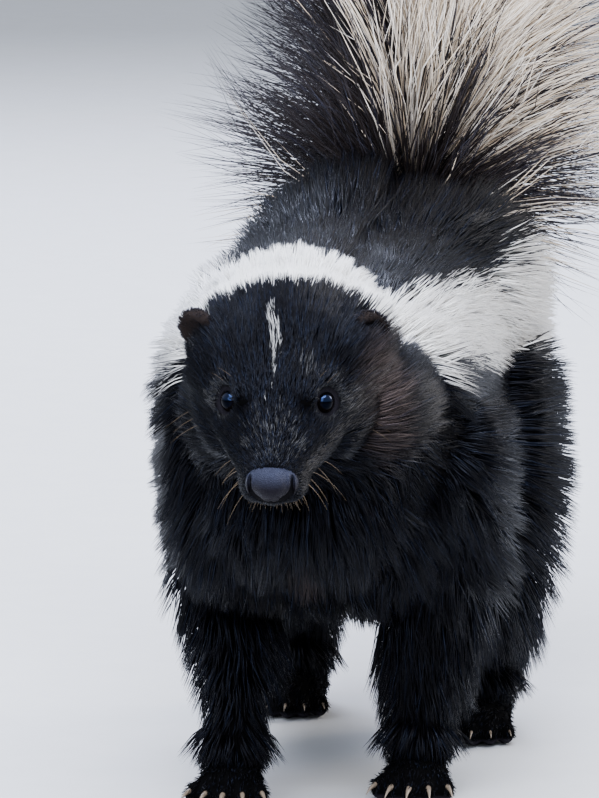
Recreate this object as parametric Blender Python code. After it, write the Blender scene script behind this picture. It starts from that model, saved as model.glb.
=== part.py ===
# A young striped skunk at life size, walking with its head low and its tail raised.
# It faces -Y, its left side is +X, +Z is up, and the soles rest on the floor at Z = 0.
# Sizes are in metres. The flesh of each form comes from rings that give its half width, its
# half height and the depth of the coat over it, so that coat and flesh keep one shape.

import math
from collections import namedtuple

import bmesh
import bpy
import numpy as np
from mathutils import Matrix, Vector
from mathutils.bvhtree import BVHTree

# Driving sizes
GAP = 0.0003
EYE_SPACING = 0.029
EYE_RADIUS = 0.0039
EYES_AT = Vector((-0.0043, -0.075, 0.136))
HEAD_TURN = math.radians(3)
HEAD_DROP = math.radians(33)
SNOUT_LENGTH = 0.028
NOSE_BELOW_EYES = 0.009
FOOT_SPREAD = {"front": 0.028, "hind": 0.034}
FOOT_ALONG = {
    ("front", "left"): 0.008,
    ("front", "right"): -0.012,
    ("hind", "left"): 0.110,
    ("hind", "right"): 0.150,
}
SIDES = {"left": 1, "right": -1}
WRIST_HEIGHT = 0.018
TAIL_ROOT = Vector((-0.001, 0.176, 0.150))
TAIL_LENGTH = 0.165
TAIL_RISE = (math.radians(35), math.radians(72))
TAIL_HAIR = 0.095

# A ring of flesh: its centre, its half sizes and the depth of coat over it
Ring = namedtuple("Ring", "x y z half_width half_height coat")

TORSO = [
    Ring(-0.002, -0.034, 0.109, 0.027, 0.028, 0.013),
    Ring(-0.004, -0.015, 0.108, 0.039, 0.040, 0.015),
    Ring(-0.007, 0.020, 0.1115, 0.043, 0.0455, 0.016),
    Ring(-0.0075, 0.060, 0.1135, 0.0435, 0.0455, 0.017),
    Ring(-0.006, 0.105, 0.1190, 0.0405, 0.0435, 0.018),
    Ring(-0.003, 0.142, 0.1275, 0.0385, 0.0395, 0.018),
    Ring(-0.001, 0.168, 0.132, 0.032, 0.031, 0.017),
    Ring(-0.001, 0.184, 0.136, 0.020, 0.020, 0.015),
]
NECK = [
    Ring(-0.005, -0.050, 0.148, 0.022, 0.020, 0.009),
    Ring(-0.004, -0.038, 0.134, 0.030, 0.027, 0.013),
    Ring(-0.001, -0.014, 0.117, 0.034, 0.034, 0.015),
    Ring(0.000, 0.010, 0.108, 0.034, 0.036, 0.015),
]

# The head's rings lie behind the nose tip: x holds the distance back, y the top and z the bottom
HeadRing = namedtuple("HeadRing", "back top bottom half_width coat")
HEAD = [
    HeadRing(0.002, 0.0030, -0.0062, 0.0062, 0.0006),
    HeadRing(0.006, 0.0052, -0.0088, 0.0084, 0.0010),
    HeadRing(0.012, 0.0075, -0.0110, 0.0105, 0.0014),
    HeadRing(0.019, 0.0108, -0.0126, 0.0128, 0.0018),
    HeadRing(0.026, 0.0150, -0.0142, 0.0158, 0.0022),
    HeadRing(0.034, 0.0200, -0.0160, 0.0200, 0.0036),
    HeadRing(0.044, 0.0222, -0.0180, 0.0240, 0.0060),
    HeadRing(0.055, 0.0228, -0.0188, 0.0256, 0.0075),
    HeadRing(0.067, 0.0212, -0.0178, 0.0246, 0.0085),
    HeadRing(0.078, 0.0190, -0.0160, 0.0226, 0.0090),
]

# Where the flesh is parted: a point on the plane and the way the plane faces
HEAD_CUT_BACK = 0.066
ROOM = 0.0028
NECK_CUT = (Vector((0, -0.012, 0.140)), Vector((0, -0.68, 0.7332)))
# How square the torso is in section: 2 is an ellipse
TORSO_SQUARE = 3.3
TAIL_CUT_ALONG = 0.020
# The arch round each leg: its middle along Y, half its length, where it springs and its rise
LEG_ARCH = {"front": (0.002, 0.037, 0.050, 0.036), "hind": (0.132, 0.050, 0.052, 0.040)}
LEG_INNER = 0.008

# Locks: the share of the coat that is a dense core, and the locks' spacing and size over it
CORE = 0.5
LOCK_STEP = 0.028
LOCKS_ROUND = 11
LOCK_LENGTH = 0.041
LOCK_WIDTH = 0.026
TAIL_LOCK_ROWS = 7
TAIL_LOCKS_ROUND = 11

COLOURS = {
    "black_fur": ((0.012, 0.011, 0.013, 1), 0.55),
    "white_fur": ((0.80, 0.79, 0.75, 1), 0.65),
    "nose_leather": ((0.075, 0.068, 0.078, 1), 0.42),
    "eye": ((0.006, 0.005, 0.006, 1), 0.05),
    "claw_horn": ((0.28, 0.23, 0.18, 1), 0.40),
}


def clear_scene():
    for obj in list(bpy.data.objects):
        bpy.data.objects.remove(obj, do_unlink=True)


def material(name):
    made = bpy.data.materials.get(name)
    if made is None:
        colour, roughness = COLOURS[name]
        made = bpy.data.materials.new(name)
        made.use_nodes = True
        shader = made.node_tree.nodes["Principled BSDF"]
        shader.inputs["Base Color"].default_value = colour
        shader.inputs["Roughness"].default_value = roughness
        shader.inputs["Metallic"].default_value = 0.0
    return made


# Small mesh tools


def object_of(name, mesh):
    obj = bpy.data.objects.new(name, mesh)
    bpy.context.scene.collection.objects.link(obj)
    return obj


def remove(objects):
    for obj in objects:
        bpy.data.objects.remove(obj, do_unlink=True)


def apply_modifiers(obj):
    bpy.context.view_layer.update()
    graph = bpy.context.evaluated_depsgraph_get()
    mesh = bpy.data.meshes.new_from_object(obj.evaluated_get(graph))
    obj.modifiers.clear()
    obj.data = mesh
    return obj


def transformed(obj, matrix):
    obj.data.transform(matrix)
    return obj


def mesh_from(name, build):
    """A new object whose mesh the function build makes in a bmesh."""
    work = bmesh.new()
    build(work)
    bmesh.ops.recalc_face_normals(work, faces=work.faces)
    mesh = bpy.data.meshes.new(name)
    work.to_mesh(mesh)
    work.free()
    return object_of(name, mesh)


def ellipsoid(name, centre, radii, turn=None, segments=20, rings=12):
    spin = turn or Matrix.Identity(4)
    place = Matrix.Translation(centre) @ spin @ Matrix.Diagonal((*radii, 1))

    def build(work):
        bmesh.ops.create_uvsphere(work, u_segments=segments, v_segments=rings, radius=1, matrix=place)

    return mesh_from(name, build)


def block(name, low, high):
    low, high = Vector(low), Vector(high)
    place = Matrix.Translation((low + high) / 2) @ Matrix.Diagonal((*(high - low), 1))

    def build(work):
        bmesh.ops.create_cube(work, size=1, matrix=place)

    return mesh_from(name, build)


def half_space(name, point, facing, size=1.0):
    """A big block that fills the side of a plane that facing points to."""
    turn = Vector(facing).to_track_quat("Z", "Y").to_matrix().to_4x4()
    place = Matrix.Translation(point) @ turn @ Matrix.Translation((0, 0, size / 2))

    def build(work):
        bmesh.ops.create_cube(work, size=size, matrix=place)

    return mesh_from(name, build)


def rings_to_mesh(name, loops):
    """A closed mesh through loops of points, all with the same count, with a fan at each end."""

    def build(work):
        rows = [[work.verts.new(point) for point in loop] for loop in loops]
        count = len(rows[0])
        for near, far in zip(rows, rows[1:]):
            for i in range(count):
                j = (i + 1) % count
                work.faces.new((near[i], near[j], far[j], far[i]))
        for row in (rows[0], rows[-1]):
            middle = work.verts.new(sum((v.co for v in row), Vector()) / count)
            for i in range(count):
                work.faces.new((row[i], row[(i + 1) % count], middle))

    return mesh_from(name, build)


def curve_through(rows, count):
    """count + 1 rows of numbers on one smooth curve through the given rows."""
    rows = np.array(rows, float)
    ends = np.vstack([2 * rows[0] - rows[1], rows, 2 * rows[-1] - rows[-2]])
    steps = np.linspace(0, len(rows) - 1, count + 1)
    made = []
    for step in steps:
        i = min(int(step), len(rows) - 2)
        t = step - i
        a, b, c, d = ends[i : i + 4]
        made.append(
            0.5 * (2 * b + (c - a) * t + (2 * a - 5 * b + 4 * c - d) * t * t + (3 * b - a - 3 * c + d) * t**3)
        )
    return np.array(made)


def with_coat(rows, share):
    """The same rings with only a share of their coat."""
    return [row._replace(coat=row.coat * share) for row in rows]


def tube(name, rows, sides=24, steps=24, dome=0.7, square=2.0):
    """A closed round form along rings of flesh and the coat over it."""
    rows = curve_through(rows, steps)
    centres = [Vector(row[:3]) for row in rows]
    ways = [(centres[min(i + 1, steps)] - centres[max(i - 1, 0)]).normalized() for i in range(steps + 1)]
    wide = rows[:, 3] + rows[:, 5]
    tall = rows[:, 4] + rows[:, 5]
    stations = list(zip(centres, ways, wide, tall))
    for angle in (30, 60, 85):
        lift, shrink = math.sin(math.radians(angle)), math.cos(math.radians(angle))
        depth = dome * min(wide[-1], tall[-1]) * lift
        stations.append((centres[-1] + ways[-1] * depth, ways[-1], wide[-1] * shrink, tall[-1] * shrink))
        depth = dome * min(wide[0], tall[0]) * lift
        stations.insert(0, (centres[0] - ways[0] * depth, ways[0], wide[0] * shrink, tall[0] * shrink))
    loops = []
    for centre, way, half_width, half_height in stations:
        side = (Vector((1, 0, 0)) - way * way.x).normalized()
        up = side.cross(way)
        loop = []
        for k in range(sides):
            across, rise = math.cos(math.tau * k / sides), math.sin(math.tau * k / sides)
            across = math.copysign(abs(across) ** (2 / square), across)
            rise = math.copysign(abs(rise) ** (2 / square), rise)
            loop.append(centre + side * half_width * across + up * half_height * rise)
        loops.append(loop)
    return rings_to_mesh(name, loops)


def joined(name, pieces):
    """One object that holds the meshes of all the pieces, which may still cross."""
    work = bmesh.new()
    for piece in pieces:
        work.from_mesh(piece.data)
    mesh = bpy.data.meshes.new(name)
    work.to_mesh(mesh)
    work.free()
    remove(pieces)
    return object_of(name, mesh)


def fused(name, pieces, voxel, smoothing, triangles):
    """One smooth closed surface round pieces that cross, with about that many triangles."""
    obj = joined(name, pieces)
    remesh = obj.modifiers.new("fuse", "REMESH")
    remesh.mode = "VOXEL"
    remesh.voxel_size = voxel
    smooth = obj.modifiers.new("soften", "SMOOTH")
    smooth.factor = 0.5
    smooth.iterations = smoothing
    apply_modifiers(obj)
    thin = obj.modifiers.new("thin", "DECIMATE")
    thin.ratio = min(1.0, triangles / (2 * len(obj.data.polygons)))
    return apply_modifiers(obj)


def boolean(obj, other, operation, solver="EXACT"):
    cut = obj.modifiers.new("cut", "BOOLEAN")
    cut.operation = operation
    cut.solver = solver
    cut.object = other
    apply_modifiers(obj)
    remove([other])
    return largest_surface(obj)


def union(obj, pieces, solver="EXACT"):
    """obj fused with closed pieces by one Boolean on their collection."""
    group = bpy.data.collections.new("union")
    bpy.context.scene.collection.children.link(group)
    for piece in pieces:
        bpy.context.scene.collection.objects.unlink(piece)
        group.objects.link(piece)
    join = obj.modifiers.new("join", "BOOLEAN")
    join.operation = "UNION"
    join.operand_type = "COLLECTION"
    join.solver = solver
    join.collection = group
    apply_modifiers(obj)
    remove(pieces)
    bpy.data.collections.remove(group)
    return largest_surface(obj)


def largest_surface(obj):
    """Keeps the closed surface with the most volume and drops scraps and sealed hollows."""
    work = bmesh.new()
    work.from_mesh(obj.data)
    bmesh.ops.triangulate(work, faces=work.faces)
    left, shells = set(work.faces), []
    while left:
        shell, edge = set(), [next(iter(left))]
        while edge:
            face = edge.pop()
            if face in shell:
                continue
            shell.add(face)
            sides = [side for side in face.edges if len(side.link_faces) == 2]
            edge += [near for side in sides for near in side.link_faces if near not in shell]
        left -= shell
        shells.append(shell)
    volumes = [sum(f.verts[0].co.dot(f.verts[1].co.cross(f.verts[2].co)) for f in shell) for shell in shells]
    keep = shells[volumes.index(max(volumes))]
    bmesh.ops.delete(work, geom=[f for f in work.faces if f not in keep], context="FACES")
    work.to_mesh(obj.data)
    work.free()
    return obj


def copy_of(obj, name):
    return object_of(name, obj.data.copy())


def grown(obj, name, by):
    """A copy of obj, a little larger all round, to cut its neighbours clear of it."""
    made = copy_of(obj, name)
    swell = made.modifiers.new("swell", "DISPLACE")
    swell.strength = by
    swell.mid_level = 0.0
    return apply_modifiers(made)


# Head


def head_frame():
    """From the head's own axes, with the eyes' midpoint as origin, to the model's."""
    return (
        Matrix.Translation(EYES_AT) @ Matrix.Rotation(HEAD_TURN, 4, "Z") @ Matrix.Rotation(HEAD_DROP, 4, "X")
    )


def in_head(x, back_of_nose, above_nose):
    """A point of the head from its distance to the left, behind and above the nose tip."""
    return Vector((x, back_of_nose - SNOUT_LENGTH, above_nose - NOSE_BELOW_EYES))


def head_rows():
    rows = []
    for ring in HEAD:
        centre = in_head(0, ring.back, (ring.top + ring.bottom) / 2)
        rows.append(Ring(*centre, ring.half_width, (ring.top - ring.bottom) / 2, ring.coat))
    return rows


def eye_facing(side):
    out, up = math.radians(40), math.radians(12)
    return Vector((side * math.sin(out) * math.cos(up), -math.cos(out) * math.cos(up), math.sin(up)))


def eye_centre(side):
    return Vector((side * (EYE_SPACING / 2 - 0.0012), 0.0022, -0.0008))


def ring_round(name, centre, facing, radius, thickness, segments=14, sides=6, squash=0.82):
    """A closed ring, such as a lid, wider than tall by squash."""
    turn = facing.to_track_quat("Z", "Y").to_matrix().to_4x4()
    loops = []
    for i in range(segments):
        a = math.tau * i / segments
        out = Vector((math.cos(a), squash * math.sin(a), 0))
        loop = []
        for k in range(sides):
            b = math.tau * k / sides
            flat = out * (radius + thickness * math.cos(b))
            loop.append(centre + turn @ (flat + Vector((0, 0, thickness * math.sin(b)))))
        loops.append(loop)

    def build(work):
        rows = [[work.verts.new(p) for p in loop] for loop in loops]
        for i in range(segments):
            near, far = rows[i], rows[(i + 1) % segments]
            for k in range(sides):
                j = (k + 1) % sides
                work.faces.new((near[k], near[j], far[j], far[k]))

    return mesh_from(name, build)


def mouth_cutter(head):
    """A thin U-shaped plate that cuts the line of the mouth round the muzzle, deepest in front."""
    front = in_head(0, 0.0030, -0.0066)
    corner = in_head(0, 0.0215, -0.0082)
    along = (corner - front).normalized()
    up = Vector((1, 0, 0)).cross(along)
    middle = in_head(0, 0.016, 0) - in_head(0, 0.0030, 0) + front
    middle = front + along * (middle - front).dot(along)
    tree = BVHTree.FromObject(head, bpy.context.evaluated_depsgraph_get())
    spread, half_steps = math.radians(112), 12
    depth, thick, beyond = 0.0016, 0.0008, 0.003
    inner, outer = [], []
    for i in range(-half_steps, half_steps + 1):
        share = i / half_steps
        angle = share * spread
        way = Vector((math.sin(angle), 0, 0)) - along * math.cos(angle)
        hit = tree.ray_cast(middle, way)[0]
        reach = (hit - middle).length
        fade = 1 - abs(share) ** 4
        inner.append(middle + way * (reach - depth * fade + 0.0002 * abs(share)))
        outer.append(middle + way * (reach + beyond))

    def build(work):
        rows = []
        for near, far in zip(inner, outer):
            corners = [near - up * thick / 2, far - up * thick, far + up * thick, near + up * thick / 2]
            rows.append([work.verts.new(p) for p in corners])
        for a, b in zip(rows, rows[1:]):
            for k in range(4):
                j = (k + 1) % 4
                work.faces.new((a[k], a[j], b[j], b[k]))
        work.faces.new(rows[0])
        work.faces.new(rows[-1])

    return mesh_from("mouth_cutter", build)


def make_head():
    """The head without its ears, eyes and nose pad, in the head's own axes."""
    parts = [tube("head_form", head_rows(), sides=32, steps=40)]
    for side in SIDES.values():
        # The pad of the upper lip that carries the whiskers, the brow over the eye and the cheek
        parts.append(ellipsoid("lip", in_head(side * 0.0062, 0.0095, -0.0042), (0.0056, 0.0088, 0.0052)))
        parts.append(ellipsoid("brow", in_head(side * 0.0115, 0.0290, 0.0150), (0.0055, 0.0080, 0.0040)))
        parts.append(ellipsoid("cheek", in_head(side * 0.0180, 0.0450, -0.0040), (0.0120, 0.0150, 0.0135)))
    parts.append(ellipsoid("chin", in_head(0, 0.0095, -0.0102), (0.0060, 0.0078, 0.0042)))
    head = fused("head", parts, voxel=0.0010, smoothing=8, triangles=40000)
    for side in SIDES.values():
        orbit = ellipsoid("orbit", eye_centre(side) + eye_facing(side) * 0.0085, [0.0074] * 3)
        boolean(head, orbit, "DIFFERENCE")
    head = fused("head", [head], voxel=0.0010, smoothing=3, triangles=1350)
    lids = []
    for side in SIDES.values():
        rim = eye_centre(side) + eye_facing(side) * 0.0026
        lids.append(ring_round("lid", rim, eye_facing(side), 0.0037, 0.0010))
    union(head, lids)
    for side in SIDES.values():
        socket = ellipsoid("socket", eye_centre(side), [EYE_RADIUS + GAP] * 3, segments=16, rings=10)
        boolean(head, socket, "DIFFERENCE")
    boolean(head, mouth_cutter(head), "DIFFERENCE")
    behind = half_space("behind", in_head(0, HEAD_CUT_BACK - GAP / 2, 0), (0, 1, 0))
    return boolean(head, behind, "DIFFERENCE")


def make_eye(side, label):
    turn = eye_facing(side).to_track_quat("Z", "Y").to_matrix().to_4x4()
    eye = ellipsoid(f"eye_{label}", eye_centre(side), [EYE_RADIUS] * 3, turn, segments=16, rings=10)
    return eye


def make_nose(head):
    """The bare nose pad, with the slit of each nostril curving down its side."""
    tip = in_head(0, 0, 0)
    parts = [ellipsoid("pad", tip + Vector((0, 0.0052, 0.0008)), (0.0072, 0.0062, 0.0052))]
    for side in SIDES.values():
        wing_at = tip + Vector((side * 0.0043, 0.0040, -0.0004))
        parts.append(ellipsoid("wing", wing_at, (0.0033, 0.0044, 0.0042)))
    parts.append(ellipsoid("lip_stem", tip + Vector((0, 0.0040, -0.0044)), (0.0032, 0.0036, 0.0034)))
    nose = fused("nose", parts, voxel=0.0006, smoothing=4, triangles=420)
    boolean(nose, grown(head, "head_grown", GAP), "DIFFERENCE")
    for side in SIDES.values():
        lean, toe_in = side * math.radians(28), side * math.radians(-30)
        turn = Matrix.Rotation(lean, 4, "Y") @ Matrix.Rotation(toe_in, 4, "Z")
        slit_at = tip + Vector((side * 0.0056, 0.0012, -0.0004))
        boolean(nose, ellipsoid("slit", slit_at, (0.0008, 0.0030, 0.0026), turn, 10, 8), "DIFFERENCE")
        pit_at = tip + Vector((side * 0.0036, 0.0002, -0.0024))
        boolean(nose, ellipsoid("pit", pit_at, (0.0015, 0.0024, 0.0011), None, 10, 8), "DIFFERENCE")
    return nose


def make_ear(side, label, head):
    """A low round ear, hollowed in front, rooted on the side of the skull."""
    centre = in_head(side * 0.0272, 0.0545, 0.0155)
    out, lean = side * math.radians(24), side * math.radians(-24)
    turn = Matrix.Rotation(out, 4, "Z") @ Matrix.Rotation(lean, 4, "Y")
    ear = ellipsoid(f"ear_{label}", centre, (0.0085, 0.0040, 0.0088), turn, 14, 9)
    hollow_at = centre + turn @ Vector((side * 0.0006, -0.0030, -0.0002))
    hollow = ellipsoid("hollow", hollow_at, (0.0062, 0.0036, 0.0064), turn, 12, 7)
    boolean(ear, hollow, "DIFFERENCE")
    return boolean(ear, grown(head, "head_grown", GAP), "DIFFERENCE")


# Body


def leg_rows(end, side, along):
    """Rings of flesh from the shoulder or haunch down to the wrist or hock."""
    x = side * FOOT_SPREAD[end]
    if end == "front":
        return [
            Ring(side * 0.030, 0.004, 0.112, 0.016, 0.022, 0.012),
            Ring(side * 0.032, 0.010, 0.080, 0.015, 0.018, 0.010),
            Ring(side * 0.030, 0.4 * along + 0.008, 0.055, 0.0120, 0.0125, 0.0075),
            Ring(x, along + 0.002, 0.030, 0.0085, 0.0095, 0.0060),
            Ring(x, along, 0.012, 0.0080, 0.0088, 0.0035),
        ]
    return [
        Ring(side * 0.030, 0.128, 0.112, 0.019, 0.030, 0.0125),
        Ring(side * 0.034, 0.5 * along + 0.058, 0.082, 0.0165, 0.0250, 0.011),
        Ring(side * 0.035, 0.8 * along + 0.018, 0.055, 0.0130, 0.0165, 0.0085),
        Ring(x, along + 0.012, 0.030, 0.0098, 0.0115, 0.0052),
        Ring(x, along + 0.008, 0.012, 0.0082, 0.0105, 0.0035),
    ]


def tail_rows(count=8):
    """Rings of flesh along the tail, which rises more steeply towards its tip."""
    rows, point = [], TAIL_ROOT.copy()
    for i in range(count + 1):
        share = i / count
        rise = TAIL_RISE[0] + (TAIL_RISE[1] - TAIL_RISE[0]) * share
        radius = 0.0075 * (1 - share) + 0.0028 * share
        rows.append(Ring(*point, radius, radius, TAIL_HAIR))
        point += Vector((0, math.cos(rise), math.sin(rise))) * TAIL_LENGTH / count
    return rows


def tail_way(rows, share):
    """The point and the way of the tail at a share of its length."""
    step = share * (len(rows) - 1)
    i = min(int(step), len(rows) - 2)
    near, far = Vector(rows[i][:3]), Vector(rows[i + 1][:3])
    return near.lerp(far, step - i), (far - near).normalized()


def tail_hair(share):
    """The length of the hair at a share of the tail's length."""
    return TAIL_HAIR * (0.96 + 0.14 * share - 0.24 * share**2)


def tail_lean(share):
    """The angle between the tail and its hair, which stands out most at the root."""
    return math.radians(84 - 52 * share**1.2)


def tail_outline(hair=1.0):
    """Rings through a share of the hair's length: a narrow root, then a wide fan of hair."""
    rows = tail_rows(16)
    point, way = tail_way(rows, 0.0)
    made = [Ring(*(point - way * 0.004), 0.010, 0.010, 0)]
    point, way = tail_way(rows, 0.14)
    made.append(Ring(*point, 0.016, 0.016, 0))
    for share in (0.16, 0.30, 0.45, 0.60, 0.80, 1.0):
        point, way = tail_way(rows, share)
        length = hair * tail_hair(share)
        lean = tail_lean(share)
        centre = point + way * length * math.cos(lean)
        reach = length * math.sin(lean) + 0.005
        made.append(Ring(*centre, reach, reach, 0))
    return made


def leg_region(name, end, side, grow):
    """An arched block round one leg: it parts the leg from the torso."""
    middle, half, spring, rise = LEG_ARCH[end]
    half, rise, low = half + grow, rise + grow, -0.02
    inner, outer = LEG_INNER - grow, 0.12
    arch = [(middle + half * math.cos(a), spring + rise * math.sin(a)) for a in np.linspace(0, math.pi, 13)]
    outline = [(middle + half, low), *arch, (middle - half, low)]
    loops = [[Vector((side * x, y, z)) for y, z in outline] for x in (inner, outer)]

    def build(work):
        near, far = [[work.verts.new(p) for p in loop] for loop in loops]
        for i in range(len(outline)):
            j = (i + 1) % len(outline)
            work.faces.new((near[i], near[j], far[j], far[i]))
        work.faces.new(near)
        work.faces.new(far)

    return mesh_from(name, build)


def make_paw(end, side, label):
    """A flat-soled foot with five toes and long claws, cut level with the floor."""
    x = side * FOOT_SPREAD[end]
    along = FOOT_ALONG[end, label]
    hind = end == "hind"
    ankle_y = along + (0.008 if hind else 0.0)
    parts = [
        ellipsoid("ankle", (x, ankle_y, 0.017), (0.0118, 0.0125 if not hind else 0.0142, 0.014)),
        ellipsoid("palm", (x, along - 0.007, 0.0062), (0.0108, 0.0125, 0.0078)),
    ]
    if hind:
        parts.append(ellipsoid("heel", (x, along + 0.012, 0.0068), (0.0092, 0.0130, 0.0085)))
    claws = []
    for toe in range(5):
        fan = (toe - 2) / 2
        angle = fan * math.radians(24) * side
        way = Vector((math.sin(angle), -math.cos(angle), 0))
        root = Vector((x + side * fan * 0.0078, along - 0.0125 + 0.0042 * abs(fan) ** 1.5, 0.0042))
        reach = 0.0085 * (1 - 0.18 * abs(fan))
        turn = way.to_track_quat("Y", "Z").to_matrix().to_4x4()
        parts.append(ellipsoid("toe", root + way * reach * 0.5, (0.0031, 0.0068, 0.0042), turn, 14, 8))
        claws.append(claw("claw", root + way * (reach - 0.001), way, 0.0085 if not hind else 0.0058))
    name = f"paw_{end}_{label}"
    paw = fused(name, parts, voxel=0.0013, smoothing=3, triangles=150)
    union(paw, claws)
    above = half_space("above", (0, 0, WRIST_HEIGHT - GAP / 2), (0, 0, 1))
    boolean(paw, above, "DIFFERENCE")
    return boolean(paw, half_space("below", (0, 0, 0), (0, 0, -1)), "DIFFERENCE")


def claw(name, root, way, length):
    """A curved tapering claw that stops just above the floor."""
    radius, sides = 0.0012, 4
    up = Vector((0, 0, 1))
    across = up.cross(way).normalized()
    loops = []
    for share in (0.0, 0.5, 1.0):
        centre = root + way * length * share
        centre.z += 0.0012 - 0.0035 * share**2
        size = radius * (1 - 0.85 * share)
        angles = [math.tau * k / sides for k in range(sides)]
        loops.append([centre + (across * math.cos(a) + up * math.sin(a)) * size for a in angles])
    return rings_to_mesh(name, loops)


def head_space(frame):
    """The room that the head takes up ahead of the neck, a little wider than the head itself."""
    rows = []
    for row in head_rows():
        rows.append(row._replace(half_width=row.half_width + ROOM, half_height=row.half_height + ROOM))
    space = tube("head_space", rows, sides=32, steps=24)
    boolean(space, half_space("behind", in_head(0, HEAD_CUT_BACK + GAP / 2, 0), (0, 1, 0)), "DIFFERENCE")
    return transformed(space, frame)


def make_body(frame):
    """Neck, torso and legs as one smooth form: flesh and the dense half of the coat."""
    parts = [tube("torso_form", with_coat(TORSO, CORE), sides=28, steps=28, square=TORSO_SQUARE)]
    parts.append(tube("neck_form", with_coat(NECK, CORE), steps=12, dome=0.4))
    parts.append(transformed(tube("skull_form", with_coat(head_rows(), CORE), sides=32, steps=40), frame))
    for end, label in FOOT_ALONG:
        rows = leg_rows(end, SIDES[label], FOOT_ALONG[end, label])
        rows = with_coat(rows[:1], CORE) + with_coat(rows[1:2], 0.8) + rows[2:]
        parts.append(tube("leg_form", rows, sides=20, steps=16))
    return fused("body", parts, voxel=0.0026, smoothing=8, triangles=1900)


# Locks of hair


def lock(stations, name="lock"):
    """A flat tapering lock with a low ridge, through (point, across, out, width, thickness) stations."""
    rows = []
    for point, across, out, width, thick in stations[:-1]:
        left = point - across * width / 2 - out * thick * 0.35
        right = point + across * width / 2 - out * thick * 0.35
        rows.append([left, right, point + out * thick * 0.65])
    tip = stations[-1][0]

    def build(work):
        rings = [[work.verts.new(p) for p in row] for row in rows]
        for near, far in zip(rings, rings[1:]):
            for i in range(3):
                j = (i + 1) % 3
                work.faces.new((near[i], near[j], far[j], far[i]))
        work.faces.new(rings[0])
        end = work.verts.new(tip)
        for i in range(3):
            work.faces.new((rings[-1][i], rings[-1][(i + 1) % 3], end))
        bmesh.ops.triangulate(work, faces=work.faces)

    return mesh_from(name, build)


def lie_of_hair(point, normal):
    """The way the coat lies: back along the body, down the chest and down the legs."""
    chest = min(1.0, max(0.0, -normal.y * 1.6 - 0.2)) if point.y < 0 and point.z < 0.145 else 0.0
    leg = min(1.0, max(0.0, (0.100 - point.z) / 0.035)) if abs(point.x) > 0.018 else 0.0
    down = max(chest, leg)
    way = Vector((0, 1 - 0.85 * down, -0.38 * (1 - down) * min(1, abs(point.x) / 0.03) - down))
    return (way - normal * way.dot(normal)).normalized()


def home_of(point, frame):
    """The node that a point of the body belongs to."""
    own = frame.inverted() @ point
    if own.y < HEAD_CUT_BACK - SNOUT_LENGTH + 0.0006 and own.z > -0.034:
        return "head"
    middle, facing = NECK_CUT
    if (point - middle).dot(facing) > 0:
        return "neck"
    root, way = tail_plane()
    if (point - root).dot(way) > -0.001:
        return "tail"
    for end, label in FOOT_ALONG:
        along, half, spring, rise = LEG_ARCH[end]
        high = point.z - spring
        reach = 1 - (high / rise) ** 2 if high > 0 else 1.0
        if point.x * SIDES[label] > LEG_INNER and reach > 0:
            if abs(point.y - along) < half * math.sqrt(reach):
                return f"leg_{end}_{label}"
    return "torso"


def coat_at(point):
    """How far the hair's tips stand off the dense core."""
    if point.z > 0.150 and point.y < 0.01:
        return 0.0065
    if point.z < 0.085:
        return 0.0070
    return 0.0095


def body_rays():
    """Rays from inside the body, in staggered rows along it and in a fan over the chest."""
    rays = []
    for row, along in enumerate(np.arange(-0.008, 0.186, LOCK_STEP)):
        share = min(1.0, max(0.0, (along + 0.05) / 0.05))
        centre = Vector((0, along, 0.146 * (1 - share) + (0.108 + 0.10 * max(0.0, along)) * share))
        for k in range(LOCKS_ROUND):
            angle = math.tau * (k + 0.5 * (row % 2) + 0.15) / LOCKS_ROUND
            rays.append((centre, Vector((math.cos(angle), 0, math.sin(angle)))))
    for row, along in enumerate((-0.050, -0.036, -0.020)):
        for k in range(8):
            angle = math.radians(22 + 17 * k + 8 * (row % 2))
            rays.append((Vector((-0.003, along, 0.142)), Vector((math.cos(angle), 0, math.sin(angle)))))
    chest = Vector((0, -0.018, 0.108))
    for row, rise in enumerate((16, -6, -30, -54)):
        for k in range(-2, 3):
            turn = math.radians(34 * k + 17 * (row % 2))
            flat, high = math.cos(math.radians(rise)), math.sin(math.radians(rise))
            rays.append((chest, Vector((math.sin(turn) * flat, -math.cos(turn) * flat, high))))
    return rays


def body_lock(tree, hit, normal, length, width, height, swing):
    """A lock that leaves the core at hit and follows the body's round to the coat's outer depth."""
    start = Matrix.Rotation(swing, 3, normal) @ lie_of_hair(hit, normal)
    stations, point, way = [], hit - start * 0.004, start
    profile = [
        (0.0, -0.0030, 0.80, 1.0),
        (0.30, 0.0006, 1.0, 0.9),
        (0.62, 0.62 * height, 0.80, 0.7),
        (0.85, 0.90 * height, 0.45, 0.5),
        (1.0, height, 0, 0),
    ]
    last = 0.0
    for share, high, wide, thick in profile:
        target = point + way * length * (share - last)
        surface, out, _, _ = tree.find_nearest(target)
        last, point = share, surface
        way = (lie_of_hair(surface, out) * 0.5 + way * 0.5).normalized()
        way = (way - out * way.dot(out)).normalized()
        across = out.cross(way).normalized()
        stations.append((surface + out * high, across, out, width * wide, 0.0034 * thick + 0.0006))
    return stations


def lies_smoothly(stations):
    """Whether a lock runs on without a fold or a sharp twist."""
    for near, far in zip(stations, stations[1:]):
        if near[1].dot(far[1]) < 0.75 or near[2].dot(far[2]) < 0.6 or (far[0] - near[0]).length < 0.0025:
            return False
    return True


def crosses_itself(obj):
    """Whether faces of a lock that share no corner touch each other."""
    tree = BVHTree.FromObject(obj, bpy.context.evaluated_depsgraph_get())
    corners = [set(face.vertices) for face in obj.data.polygons]
    return any(not corners[a] & corners[b] for a, b in tree.overlap(tree) if a < b)


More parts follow.
